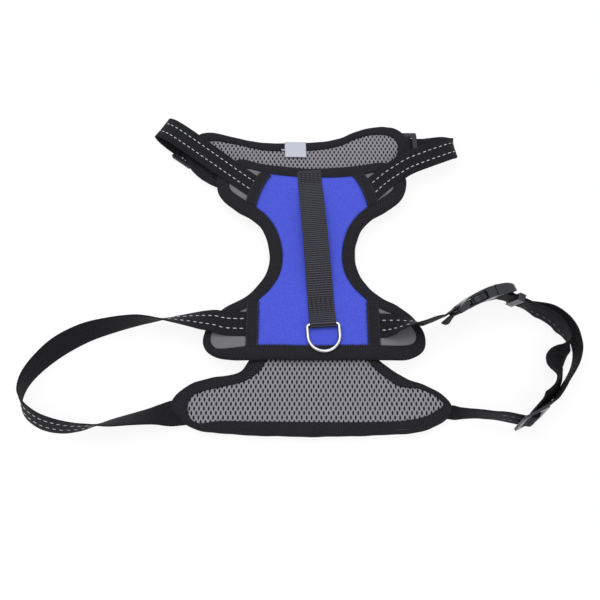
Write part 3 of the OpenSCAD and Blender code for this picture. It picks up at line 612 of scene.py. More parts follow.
def knit_cloth(name, low, high, scale):
    """Lining, mesh yarn or foam."""
    return grained(name, low, high, roughness=0.85, scale=scale, detail=3.0, depth=0.15,
        Specular_IOR_Level=0.15, Sheen_Weight=0.05)[0]


def satin(name, low, high):
    """Smooth label cloth."""
    return grained(name, low, high, roughness=0.45, scale=1600, detail=2.0, depth=0.05,
        Specular_IOR_Level=0.25, Sheen_Weight=0.03)[0]


def moulded_plastic(name, low, high):
    """Plastic with a fine grain, whose edges shade as if rounded."""
    mat, bump = grained(name, low, high, roughness=0.25, scale=900, detail=3.0, depth=0.03,
        Specular_IOR_Level=0.4)
    round_off = shader_node(mat, "Bevel", Radius=1.4 * MM)
    round_off.samples = 6
    join(mat, round_off.outputs["Normal"], bump.inputs["Normal"])
    return mat


def bright_wire(name):
    """Plated wire, a little scuffed."""
    mat, shader = finish(name, (0.4, 0.4, 0.43), 0.12, Metallic=1.0)
    scuff = calc(mat, "MULTIPLY_ADD", noise(mat, 500, 4.0), 0.14, 0.06)
    join(mat, scuff, shader.inputs["Roughness"])
    return mat


def thread_finish(name, low, high):
    """Thread, with a shade that varies along it."""
    mat, shader = finish(name, low, 0.6, Specular_IOR_Level=0.15)
    tint(mat, shader, noise(mat, 2500), low, high)
    return mat


STITCH_TREE = stitch_tree()
NET_TREE = net_tree()
# the lighter colour of each web is mostly the painted highlight on its rib crests
BLACK_WEB = ribbed_web("black_webbing", (0.003, 0.003, 0.004), (0.026, 0.026, 0.032), 1.35)
HANDLE_WEB = ribbed_web("handle_webbing_cloth", (0.003, 0.003, 0.005), (0.1, 0.1, 0.124), 2.35)
BLACK_TAPE = herringbone_tape("black_binding_tape", (0.0015, 0.0015, 0.002), (0.036, 0.036, 0.045))
BLUE_CLOTH = napped_cloth("blue_padded_cloth", (0.03, 0.045, 0.42), (0.1, 0.132, 0.76))
GREY_CLOTH = knit_cloth("grey_lining_cloth", (0.125, 0.122, 0.135), (0.185, 0.18, 0.196), 900)
GREY_NET = knit_cloth("grey_air_mesh", (0.19, 0.186, 0.208), (0.315, 0.308, 0.34), 1300)
# the mesh's lower layer, coloured near black as painted shade in the mesh holes
NET_FLOOR_PAINTED_SHADE = knit_cloth("mesh_underlayer", (0.006, 0.006, 0.007), (0.018, 0.018, 0.02), 800)
FOAM = knit_cloth("pale_foam", (0.6, 0.6, 0.58), (0.72, 0.72, 0.7), 400)
BLACK_THREAD = thread_finish("black_thread", (0.008, 0.008, 0.01), (0.03, 0.03, 0.035))
GREY_THREAD = thread_finish("dark_grey_thread", (0.045, 0.045, 0.05), (0.085, 0.085, 0.095))
WHITE_THREAD = thread_finish("reflective_thread", (0.55, 0.57, 0.6), (0.76, 0.78, 0.81))
# painted shade: the reflective thread made darker, for dashes that lie turned away from the light
SHADE_PAINTED_THREAD = thread_finish("reflective_thread_painted_shade", (0.14, 0.15, 0.18), (0.24, 0.25, 0.29))
WHITE_SATIN = satin("white_satin", (0.4, 0.42, 0.51), (0.54, 0.56, 0.65))
DARK_PLASTIC = moulded_plastic("dark_plastic", (0.012, 0.013, 0.018), (0.02, 0.021, 0.028))
BRIGHT_RING = bright_wire("bright_plated_wire")


def dress(piece, nodes, body="harness"):
    """A piece that stands for CAD nodes and rides on a body."""
    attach(piece, body)
    if nodes:
        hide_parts(*nodes)
    return piece


def sew(name, places, along, size, thread, up=None):
    """Stitches that ride on the harness."""
    dress(stitches(name, places, along, size, thread, up), [])


# The hollows under the neck lobes, where sliders and strap ends lie

def rect_distance(points, at, turn, low, high):
    """How far points are outside a turned rectangle, in plan."""
    a = radians(-turn)
    d = points - at[:2]
    x = d[:, 0] * cos(a) - d[:, 1] * sin(a)
    y = d[:, 0] * sin(a) + d[:, 1] * cos(a)
    dx = np.maximum(np.maximum(low[0] - x, x - high[0]), 0)
    dy = np.maximum(np.maximum(low[1] - y, y - high[1]), 0)
    return np.hypot(dx, dy)


def hollow_lift(points):
    """How high the cloth is lifted over sliders and strap ends, in millimetres."""
    lift = np.zeros(len(points))
    half_w, slider_end, pocket = SLIDER_HALF_W + 0.6, SLIDER_END + 0.6, -40
    half_web = WEB_W / 2 + 0.8
    for at, turn in ((NECK_LEFT_AT, NECK_LEFT_TURN), (NECK_RIGHT_AT, NECK_RIGHT_TURN)):
        slider = rect_distance(points, at, turn, (pocket, -half_w), (slider_end, half_w))
        end = rect_distance(points, at, turn, (0, -half_web), (STRAP_END_X + 1, half_web))
        for away, rise, reach in ((slider, 6.1, 7.0), (end, 2.0, 3.0)):
            lift = np.maximum(lift, rise * ease(1 - away / reach))
    return lift


# Panels

# The folded binding, over and under the edge: share of the way across the tape, offset, share of
# half the panel's thickness and, above, share of the puckers
TAPE_OVER = ((1.03, -1.1, 0, 0), (1.01, -0.35, 0, 0), (0.95, 0.02, 0, 0), (0.82, 0.1, 0, 0.12),
    (0.6, 0.08, 0, 0.2), (0.4, -0.05, 0.05, 0.22), (0.24, 0, 0.16, 0.15), (0.12, 0, 0.36, 0),
    (0.04, 0, 0.64, 0), (0, 0, 0.92, 0))
TAPE_UNDER = ((0, 0, 0.9), (0.04, 0, 0.6), (0.12, 0, 0.32), (0.26, 0, 0.12), (0.45, 0, 0.03),
    (0.7, 0, 0), (0.95, 0, 0), (1.02, 0.3, 0), (1.03, 0.9, 0))
TAPE_T, EDGE_WOBBLE = 0.7, 0.35


def bound_edge(name, edge, field, z_low, z_high, node, lift=0.0):
    """Binding tape folded over a panel's edge, with a soft roll and slight puckers."""
    n = len(edge)
    run = run_along(np.vstack([edge, edge[:1]]))
    at = run[:-1]
    pucker = np.sin(at / 7.3) * 0.4 + np.sin(at / 3.1 + 1.7 * np.sin(at / 41)) * 0.35
    low = np.full(n, z_low) + lift
    half = (z_high - low) / 2
    section = [(share, z_high + off - fall * half + puff * pucker)
        for share, off, fall, puff in TAPE_OVER]
    section += [(share, low + off + rise * half) for share, off, rise in TAPE_UNDER]
    out = unit(edge - field)
    rows = []
    for share, z in section:
        wobble = EDGE_WOBBLE * pucker * (1 - min(share, 1))
        rows.append(at_height(edge + (field - edge) * share + out * wobble[:, None], z))
    m = len(rows)
    points = np.stack(rows, 1).reshape(-1, 3)
    points = np.vstack([points, points[:m]])
    widths = [np.linalg.norm(b - a, axis=1).mean() for a, b in zip(rows, rows[1:])]
    across = np.concatenate([[0], np.cumsum(widths)])
    uv = [(along * MM, over * MM) for along in run for over in across]
    piece = make_piece(name, points, quads(n + 1, m, False), BLACK_TAPE, uv)
    solid = piece.modifiers.new("thickness", "SOLIDIFY")
    solid.thickness = TAPE_T * MM
    solid.offset = -1
    apply_modifiers(piece)
    weld_doubles(piece)
    dress(piece, [node])


def weld_doubles(piece):
    """Closes the seam of a mesh and turns its faces outwards."""
    mesh = bmesh.new()
    mesh.from_mesh(piece.data)
    bmesh.ops.remove_doubles(mesh, verts=mesh.verts, dist=1e-6)
    bmesh.ops.recalc_face_normals(mesh, faces=mesh.faces)
    mesh.to_mesh(piece.data)
    mesh.free()


def edge_stitches(name, edge, field, top, row=0.9):
    """One row of black stitches along a binding, at a share of the way across it."""
    line = edge + (field - edge) * row
    loop = np.vstack([line, line[:1]])
    run = run_along(loop)
    p = at_distance(np.arange(0, run[-1] - EDGE_PITCH / 2, EDGE_PITCH), run, loop)
    sew(name, at_height(p, top + 0.08), at_height(headings(p), 0), EDGE_STITCH, BLACK_THREAD)


def lobe_cut(y):
    """How far from the middle the blue cloth ends."""
    return np.where(y > WAIST_Y, FRONT_CUT_X + (FRONT_CUT_Y - y) * FRONT_SLOPE, REAR_CUT_X)


def swollen_top(field, spacing, seam_z, rise, reach, tuck_slope, uneven, scale):
    """A panel's cloth in plan, and its heights: swollen inside the seam, tucked down outside it."""
    flat, tris = fill_outline(inset(field, -TUCK), spacing)
    d = distance_to(flat, field) * np.where(inside(flat, field), 1, -1)
    t = np.clip(d / reach, 0, 1)
    crown = seam_z + rise * np.sqrt(1 - (1 - t) ** 2) + uneven * ripple(*flat.T, scale)
    return flat, tris, np.where(d < 0, seam_z + d * tuck_slope, crown)


def pad(node, kind, flat, tris, low, high, material, slot, fill):
    """A closed pad that stands for one node; fill, how tightly it is filled, is not used."""
    piece = closed_pad(node + kind, flat, tris, low, high, material)
    dress(piece, [node])
    return piece


def back_panel():
    """The back's blue cover and grey lobes, foam, lining and binding."""
    flat, tris, high = swollen_top(back_field, 3.2, BACK_TOP - 1.0, rise=1.15, reach=9,
        tuck_slope=0.25, uneven=0.12, scale=17)
    x, y = np.array([flat[list(f)].mean(0) for f in tris]).T
    lobe = np.abs(x) > lobe_cut(y)
    groups = {"back_cover": ~lobe}
    for end, where in (("front", y > WAIST_Y), ("rear", y <= WAIST_Y)):
        for side, which in (("left", x < 0), ("right", x > 0)):
            groups["lobe_%s_%s" % (end, side)] = lobe & where & which
    for node, chosen in groups.items():
        blue = node == "back_cover"
        cloth, slot = (BLUE_CLOTH, "blue_cloth") if blue else (GREY_CLOTH, "grey_cloth")
        some = [tris[i] for i in np.flatnonzero(chosen)]
        pad(node, "_cloth", flat, some, BACK_TOP - 2.4, high, cloth, slot, fill=0.5)
    foam = fill_outline(inset(back_edge, FOAM_INSET), 7)
    pad("back_foam", "_pad", *foam, BACK_Z + 2.2, BACK_Z + 4.1, FOAM, "foam", fill=0.8)
    lining, z = fill_outline(inset(back_field, -TUCK), 5), BACK_Z + 0.15
    pad("back_lining", "_cloth", *lining, z, z + CLOTH_T, GREY_CLOTH, "grey_mesh", fill=0.4)
    bound_edge("back_binding_tape", back_edge, back_across, BACK_Z, BACK_TOP, "back_binding")
    edge_stitches("back_binding_stitches", back_edge, back_across, BACK_TOP)
    blue_edge_teeth()


def blue_edge_teeth():
    """Overlock stitches that bite from the binding into the blue cloth."""
    line = spline(BACK_FIELD, 40, True)
    run = run_along(line)
    p = at_distance(np.arange(0, run[-1], LADDER_PITCH), run, line)
    bite, clear_of_facing = 0.55, 4
    blue = np.abs(p[:, 0]) < lobe_cut(p[:, 1]) - clear_of_facing
    inwards = inwards_of(p)[blue]
    places = at_height(p[blue] + inwards * bite, BACK_TOP + 0.3)
    sew("blue_edge_stitches", places, at_height(inwards, 0), BLUE_EDGE_STITCH, BLACK_THREAD)


# the air mesh: pitch of its cells, half height of their upright sides, and the slit in each at its
# mouth and foot, as half width, half height and level
CELL_W, CELL_H, CELL_SIDE = 4.45, 4.2, 1.1
SLIT_MOUTH, SLIT_FOOT = (1.1, 2.4, 0.0), (0.86, 2.1, -0.8)


def mesh_cell():
    """One cell of the air mesh: a six-sided rim of yarn round an upright slit."""
    half, top, side = CELL_W / 2, CELL_H - CELL_SIDE, CELL_SIDE
    corners = [(half, side), (0, top), (-half, side), (-half, -side), (0, -top), (half, -side)]
    rim = []
    for a, b in zip(corners, corners[1:] + corners[:1]):
        rim += [a, ((a[0] + b[0]) / 2, (a[1] + b[1]) / 2)]
    angles = [np.arctan2(y / top, x / half) for x, y in rim]
    points = [(x, y, 0.0) for x, y in rim]
    for half_w, half_h, z in (SLIT_MOUTH, SLIT_FOOT):
        points += [(half_w * cos(a), half_h * sin(a), z) for a in angles]
    return make_piece("mesh_cell", points, quads(3, len(rim)), GREY_NET)


def chest_plate():
    """The chest's air mesh on its underlayer, foam, shell and binding."""
    flat, tris, high = swollen_top(chest_field, 4, CHEST_H - 1.2, rise=1.0, reach=10,
        tuck_slope=0.2, uneven=0.14, scale=19)
    # the underlayer shows through the mesh holes; its near-black colour is painted shade
    under = pad("chest_mesh", "_underlayer", flat, tris, FOAM_TOP + 0.2, high - 1.0, NET_FLOOR_PAINTED_SHADE,
        "grey_mesh", fill=0.5)
    guide = make_piece("net_guide", at_height(flat, high), tris, NET_FLOOR_PAINTED_SHADE)
    low, up = flat.min(0), flat.max(0)
    xs, ys = np.arange(low[0], up[0], CELL_W), np.arange(low[1], up[1], CELL_H)
    spots = np.array([(x + (j % 2) * CELL_W / 2, y, 0) for j, y in enumerate(ys) for x in xs])
    spots = spots[inside(spots[:, :2], inset(chest_field, -0.4))]
    cell = mesh_cell()
    net = grow(make_piece("chest_mesh_net", spots, [], GREY_NET), NET_TREE,
        **{"Cell": cell, "Pad": guide, "Drop From": 0.1, "Cloth": GREY_NET})
    for spare in (cell, guide):
        bpy.data.objects.remove(spare)
    dress(net, [])
    foam_flat, foam_tris = fill_outline(inset(chest_edge, FOAM_INSET), 6)
    lift = hollow_lift(foam_flat)
    flat_foam = [f for f in foam_tris if lift[list(f)].max() < 0.2]
    pad("chest_foam", "_pad", foam_flat, flat_foam, 2.2, FOAM_TOP - 0.1, FOAM, "foam", fill=0.8)
    sole = np.minimum(hollow_lift(flat), FOAM_TOP - 1.7)
    pad("chest_shell", "_cloth", flat, tris, sole, sole + CLOTH_T, BLUE_CLOTH, "blue_cloth",
        fill=0.4)
    bound_edge("chest_binding_tape", chest_edge, chest_across, 0.0, CHEST_H, "chest_binding",
        lift=hollow_lift((chest_edge + chest_across) / 2))
    edge_stitches("chest_binding_stitches", chest_edge, chest_across, CHEST_H)


LABEL_X, LABEL_Y, LABEL_Z, LABEL_T = (-29, -6), (122, 142.5), CHEST_H + 1.0, 0.3
# the short end of the label that shows beside it, in plan, and its upper and lower face
STUB = ((-32.4, 131.6), (-28, 131.2), (-28, 133), (-32.4, 132.8))
STUB_Z = (CHEST_H + 0.9, CHEST_H + 0.5)


def care_label():
    """A bare satin tab, sewn on at the neck edge and curling a little."""
    (x0, x1), (y0, y1) = LABEL_X, LABEL_Y
    columns, lines = 16, 14
    points = []
    for below in (0, LABEL_T):
        for j in range(lines + 1):
            for i in range(columns + 1):
                u, free = i / columns, 1 - j / lines
                curl = 0.9 * free ** 2 + 0.25 * sin(pi * u) * free
                points.append((x0 + (x1 - x0) * u + 0.8 * free, y1 - (y1 - y0) * free - 0.5 * u,
                    LABEL_Z + curl - below))
    upper, layer = quads(lines + 1, columns + 1, False), (columns + 1) * (lines + 1)
    faces = upper + [tuple(k + layer for k in (a, d, c, b)) for a, b, c, d in upper]
    faces += [(b, a, a + layer, b + layer) for a, b in rim_of(upper)]
    stub = len(points)
    points += [(x, y, z) for x, y in STUB for z in STUB_Z]
    faces += [tuple(stub + k for k in (0, 2, 4, 6)), tuple(stub + k for k in (7, 5, 3, 1))]
    faces += [tuple(stub + (k + d) % 8 for d in (1, 3, 2, 0)) for k in (0, 2, 4, 6)]
    label = make_piece("care_label_tab", points, faces, WHITE_SATIN)
    dress(label, ["care_label"])


# facing tape: its size and lift off the panel, its ramp up to a strap, and its tips that dip
FACING_W, FACING_T, FACING_LIFT = 11.4, 0.8, 0.55
FACING_RAMP, FACING_TIP, FACING_DIP, SEAM_INSET = 3.2, 3.0, 0.5, 0.9
# which, place, turn, length, where and how far it covers a strap, and how far it bows
FACINGS = (("front_left", (-55.3, 76.3), 180 + 69.4, 45, 0.5, WEB_W + 9, 2.4),
    ("front_right", (55.3, 76.3), -69.4, 45, 1.5, WEB_W + 9, 2.4),
    ("rear_left", (-57.6, -74.5), 90, 48, -1, WEB_W, 0),
    ("rear_right", (57.6, -74.5), 90, 48, -2.5, WEB_W, 0))


def facing(node, at, turn, length, zone_at, zone_l, bow, steps=60):
    """Facing tape: flat on the panel, bowed towards the lobe, rising over the end of a strap."""
    a = radians(turn)
    along, across = np.array([cos(a), sin(a), 0]), np.array([-sin(a), cos(a), 0])
    outwards = across if np.dot(across[:2], at) > 0 else -across
    stations = []
    for k in range(steps + 1):
        t = -length / 2 + length * k / steps
        over = ease((zone_l / 2 + FACING_RAMP - abs(t - zone_at)) / FACING_RAMP)
        end = ease((abs(t) - length / 2 + FACING_TIP) / FACING_TIP)
        z = BACK_TOP + FACING_LIFT + over * (STRAP_Z + WEB_T / 2 - BACK_TOP) - FACING_DIP * end
        sway = bow * (1 - (2 * t / length) ** 2)
        stations.append((np.array([*at, z]) + along * t + outwards * sway, across))
    tape = webbing(node + "_tape", stations, BLACK_TAPE, FACING_W, FACING_T)
    dress(tape, [node])
    _, _, _, face, run = frames(stations)
    side_up, span = 1 if face[0, 2] > 0 else -1, (1, -1)
    inner = -1 if outwards is across else 1
    seam = FACING_W / 2 - SEAM_INSET
    p, t, up = rows_on_web(stations, (-seam, seam), SEAM_PITCH, side_up, span)
    sew(node + "_stitches", p - up * 0.25, t, SEAM_STITCH, GREY_THREAD, up)
    p, t, up = rows_on_web(stations, (inner * (FACING_W / 2 + 0.2),), LADDER_PITCH, side_up, span)
    over = np.cross(t, up)
    sew(node + "_ladder_stitches", p - up * 0.75, over, LADDER_STITCH, BLACK_THREAD, up)


def facings():
    """The four facing tapes, each over the sewn end of a strap."""
    for which, *sizes in FACINGS:
        facing("facing_" + which, *sizes)


# places and headings of the locking stitches
TACKS = [(-55.3, -99.3, 16.7, 2), (58.9, -100.9, 16.7, -1), (-74.3, -128.7, 9.5, 12),
    (-69.0, -171.9, 9.5, 0), (80.5, -129.1, 9.5, -27), (79.6, -173.8, 9.5, 2)]
TACK_COUNT, TACK_ROWS = 8, (-1.3, 1.3)


def binding_tacks():
    """Small boxes of stitches that lock the seams behind the facings and on the belly part."""
    places, along = [], []
    for x, y, z, heading in TACKS:
        a = radians(heading)
        t, n = np.array([cos(a), sin(a), 0]), np.array([-sin(a), cos(a), 0])
        for off in TACK_ROWS:
            for k in range(TACK_COUNT):
                forward = (k - (TACK_COUNT - 1) / 2) * TACK_PITCH
                places.append(np.array([x, y, z]) + t * forward + n * off)
                along.append(t)
    sew("binding_tack_stitches", places, along, TACK_STITCH, GREY_THREAD)


# Strap routes

def turned(p, turns):
    """A direction turned about X, Y and Z in that order, in degrees."""
    x, y, z = p
    a, b, c = (radians(t) for t in turns)
    y, z = y * cos(a) - z * sin(a), y * sin(a) + z * cos(a)
    x, z = x * cos(b) + z * sin(b), z * cos(b) - x * sin(b)
    x, y = x * cos(c) - y * sin(c), x * sin(c) + y * cos(c)
    return np.array([x, y, z])


def buckle_dir(p):
    """A direction on the buckle, turned as the buckle lies."""
    return turned(p, (-BUCKLE_LEAN, 0, BUCKLE_TURN))


def rolled(rows):
    """Stations from rows of x, y, z and how far the strap is rolled about its run."""
    place = np.array([r[:3] for r in rows], float)
    out = []
    for i, row in enumerate(rows):
        t = unit(place[min(i + 1, len(rows) - 1)] - place[max(i - 1, 0)])
        side = unit(np.cross(t, (0, 0, 1)))
        up = np.cross(side, t)
        a = radians(row[3])
        out.append((place[i], cos(a) * side - sin(a) * up))
    return out


def flat_rows(rows):
    """Stations from rows of x, y, z, the heading of the strap's width and, if given, its rise."""
    out = []
    for x, y, z, heading, *rise in rows:
        a, b = radians(heading), radians(rise[0] if rise else 0)
        across = np.array([cos(a) * cos(b), sin(a) * cos(b), sin(b)])
        out.append((np.array([x, y, z], float), across))
    return out


SMOOTH_STEPS = 8


def smooth(stations):
    """Stations on a smooth curve through the given ones."""
    return list(zip(*(spline([s[k] for s in stations], SMOOTH_STEPS) for k in (0, 1))))


def bar_arc(x, r, start, end, steps=6):
    """Places on an arc round a bar, in the plane across it."""
    angles = (radians(a) for a in np.linspace(start, end, steps + 1))
    return [(x + r * sin(a), r * cos(a)) for a in angles]


HALF_TURN = range(0, 181, 12)


def bar_turn(bar, out, drop, straight, back=()):
    """In outside a buckle bar, round it and back inside, by distances and offsets if given."""
    c, s = cos(radians(drop)), sin(radians(drop))
    along, off = np.array([out * c, 0, -s]), np.array([out * s, 0, c])
    ends = [(straight + 4, DOUBLE_OFF), (straight, DOUBLE_OFF), (11, DOUBLE_OFF), (6, 2)]
    return ([bar + d * along + o * off for d, o in ends]
        + [bar + BAR_WRAP * (cos(radians(a)) * off - sin(radians(a)) * along) for a in HALF_TURN]
        + [bar + d * along - o * off for d, o in back or reversed(ends)])


def dashed(name, stations, body_call, spans, side_up, offsets, thread):
    """The rows of reflective dashes on a strap."""
    rows = [rows_on_web(stations, offsets, DASH_PITCH, side_up, span) for span in spans]
    places, along, up = (np.vstack(parts) for parts in zip(*rows))
    piece = stitches(name, places, along, DASH, thread, up)
    body_call(piece)
    return piece


def strap(name, node, stations, body_call, spans=((3, -3),), side_up=1, material=BLACK_WEB,
        offsets=(-5, 5), thread=WHITE_THREAD):
    """One length of webbing with its dashes."""
    piece = webbing(name, stations, material)
    body_call(piece)
    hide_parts(node)
    if spans:
        rows = dashed(name + "_dashes", stations, body_call, spans, side_up, offsets, thread)


def on_harness(piece):
    """Lets a piece ride on the harness."""
    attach(piece, "harness")


def bending(start, end):
    """A call that bakes a piece's transform into its mesh; start and end are not used."""
    start, end = ([x * MM for x in place] for place in (start, end))
    return lambda piece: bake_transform(piece)


# the neck straps over the lobes and round their folds: x, y, z, heading of the width, and its rise
NECK_LEFT_OVER = [(-58.3, 78, STRAP_Z, 52), (-72, 88.6, STRAP_Z, 52),
    (-86, 99.5, STRAP_Z + 0.9, 52, 2), (-108, 116.4, 20.2, 52, 8), (-135, 137.2, 22.2, 52, 13),
    (-151, 149.6, 21.4, 52, 15), (-160, 156.8, 17, 52, 15), (-163, 159.3, 11.4, 52, 12),
    (-160.6, 157.6, 6, 52, 7), (-154.5, 152.9, 2.4, 52, 2)]
NECK_RIGHT_OVER = [(59.4, 72.7, STRAP_Z, 134), (70, 83.4, STRAP_Z, 132),
    (80.5, 92.6, STRAP_Z + 0.7, 125, 3), (94, 101.6, 20.2, 118, 9), (104.4, 107.2, 22, 114, 14),
    (123.3, 115.2, 22.8, 112, 17), (143.9, 124, 22.2, 111, 14), (149, 127, 20.4, 107, 12),
    (152.6, 130, 16.7, 103, 9), (153.8, 133, 11.8, 99, 6), (152.4, 136.4, 7, 96, 3),
    (148.8, 140, 3.6, 93, 1), (143.2, 143, 2.4, 91)]


def neck_strap(side, at, turn, across, over, spans, side_up):
    """Over the lobe, folded under, through its slider and sewn to the shell."""
    lead, under = 8, -WRAP_1
    lean = degrees(asin(2 * WRAP_1 / SLIDER_PITCH))
    weave = [(-SLIDER_END - lead, under), (-SLIDER_END, under)]
    for bar, start, end in ((-1, 180, 180 - lean), (0, -lean, lean), (1, 180 + lean, 180)):
        weave += bar_arc(bar * SLIDER_PITCH, WRAP_1, start, end)
    weave += [(SLIDER_END, under), (STRAP_END_X - lead, under), (STRAP_END_X, under)]
    width = np.array([cos(radians(across)), sin(radians(across)), 0])
    lower = [(at + turned((x, 0, z), (0, 0, turn)), width) for x, z in weave]
    stations = smooth(flat_rows(over) + [lower[0]]) + lower[1:]
    pull = lambda p: FOLD_PULL * ease((p[0] - FOLD_FROM) / FOLD_RUN)
    stations = [(p, a, WEB_W - pull(p)) for p, a in stations]
    crest = at + [0, 0, WRAP_1]
    middle = int(np.argmin([np.linalg.norm(station[0] - crest) for station in stations]))
    slider, node = "neck_slider_" + side, "neck_strap_" + side
    fold_x, fold_y = over[-3][:2]
    strap(node + "_web", node, stations[:middle + 1],
        bending((fold_x, fold_y, 13), (fold_x, fold_y, 3)), spans, side_up)
    sewn, near = stations[-1][0], at + turned((SLIDER_END + 2, 0, 0), (0, 0, turn))
    strap(node + "_end", node, stations[middle:],
        bending((sewn[0], sewn[1], 1), (near[0], near[1], 1)), ())


def neck_straps():
    """Both neck straps, with the dashes on the face that shows."""
    neck_strap("left", NECK_LEFT_AT, NECK_LEFT_TURN, 52, NECK_LEFT_OVER, ((3, 134),), 1)
    neck_strap("right", NECK_RIGHT_AT, NECK_RIGHT_TURN, 90, NECK_RIGHT_OVER, ((3, 118),), -1)


def belly_strap():
    """One loop from the back panel to the belly tip on the left."""
    rows = [(-55, -75.5, STRAP_Z, 0), (-70, -75.5, STRAP_Z, 0), (-83, -75.2, STRAP_Z + 0.8, 3),
        (-94, -73.2, 20, 12), (-104, -71.8, 18.4, 21), (-114, -70.6, 17, 34),
        (-126, -69.6, 15.4, 48), (-141, -68.8, 14, 64), (-155, -68.8, 13.2, 80),
        (-170, -70, 12.8, 92), (-193, -75, 12.4, 103), (-216, -82.5, 12, 112),
        (-238, -95.5, 11.8, 114), (-254, -111.5, 12.2, 104), (-264, -127, 12.8, 94),
        (-267.4, -141, 13, 84), (-265, -151.5, 12.7, 74), (-258.2, -160.4, 12.5, 68.5),
        (-244.6, -168.8, 12.8, 68), (-228.3, -173.1, 13, 74.5), (-213, -173.8, 13, 87),
        (-199.8, -172.3, 12.9, 100.5), (-182.5, -169.7, 12, 119), (-164.4, -166, 10.4, 130),
        (-147.1, -162.4, 7.8, 143), (-137, -160.4, 5.4, 160), (-129, -158.9, POCKET_Z + 0.2, 176),
        (-120, -157.6, POCKET_Z, 180), (-108, -156.5, POCKET_Z, 180)]
    strap("belly_strap_left_web", "belly_strap_left", smooth(rolled(rows)), on_harness)


def buckle_side_strap():
    """From the back panel to the socket's bar, with its loose end."""
    rows = [(55, -77.5, STRAP_Z, 0), (66.5, -77.4, STRAP_Z, 0), (73, -77.8, STRAP_Z + 1.6, -8),
        (80, -78.6, STRAP_Z + 5.2, -22), (87, -79.6, 26.9, -43), (93.5, -80, 29.6, -60),
        (100, -79.6, 30.7, -72), (106.4, -78, 29, -80), (112.4, -75.4, 25.4, -80)]
    slack = [row[:2] for row in SOCKET_SLACK]
    points = bar_turn(SOCKET_BAR, -1, SOCKET_DROP, SOCKET_STRAIGHT, slack)
    turns = [0] * (len(points) - len(slack)) + [radians(row[2]) for row in SOCKET_SLACK]
    turn = [(BUCKLE_AT + buckle_dir(p), buckle_dir((0, -cos(a), sin(a))))
        for p, a in zip(points, turns)]
    loose = len(slack) + 1
    stations = smooth(rolled(rows) + turn[1:3]) + turn[3:-loose] + smooth(turn[-loose:])
    strap("buckle_strap_web", "buckle_strap", stations, on_harness, ((3, 42),))


def gathered(stations):
    """Stations with the width of a strap that is gathered into the seam at the belly tip."""
    out = []
    for place, across in stations:
        open_by = np.clip((place[0] - GATHER_FROM) / (GATHER_TO - GATHER_FROM), 0, 1)
        out.append((place, across, WEB_W * (GATHER_SHARE + (1 - GATHER_SHARE) * open_by)))
    return out


# the adjuster strap from the belly tip to the slider, and on to the plug: x, y, z and roll
ADJUSTER_TIP = [(106, -156.4, POCKET_Z, 0), (120, -157.4, POCKET_Z, 0),
    (126.6, -158, POCKET_Z + 0.1, 8), (133.2, -159.3, 7, 58), (141.4, -160.6, 10.6, 76),
    (148.1, -161.6, 12.9, 82), (154.1, -162.5, 13.9, 85), (162.9, -164, 15.6, 89)]
ADJUSTER_OUT = [(216.8, -151.2, 13.2, 91), (224.3, -142.9, 13.2, 91), (231.2, -132.9, 13.2, 91),
    (238.3, -123.4, 13.2, 91), (244, -113.7, 13.2, 91), (247.7, -102.9, 13.2, 91),
    (248.3, -94.1, 13.2, 91), (246.9, -83, 13.2, 91), (242.4, -72.8, 13.2, 91),
    (234.8, -64.4, 13.2, 91), (225.5, -59, 13.2, 91)]
# back from the plug, and the slack before the slider: x, y, z, heading of the width, and its rise
ADJUSTER_BACK = [(216.1, -60.1, 13.3, 88), (221.8, -63, 13.3, 88), (226.9, -66.6, 13.3, 88),
    (231.8, -71.2, 13.3, 88), (235.1, -76.4, 13.3, 88)]
ADJUSTER_SLACK = [(239, -81.8, 13.3, 57, -84), (241.5, -87.4, 13.2, 54, -78),
    (242, -92.4, 12.6, 34, -68), (240, -96.6, 11.4, 8, -56), (235.4, -100.1, 9, 2, -40),
    (231, -104.2, 7.7, 1, -32), (227.2, -109.2, 7.8, 4, -33), (225.4, -115.1, 9, 7, -40),
    (225.6, -120.4, 10.5, 11, -49), (226.4, -125.4, 11.8, 4, -60), (225.2, -131.2, 12.6, -16, -68),
    (221.4, -138.2, 13.1, -30, -72), (215.2, -144.8, 13.6, -36, -70),
    (208.2, -150.4, 14.8, -34, -68)]


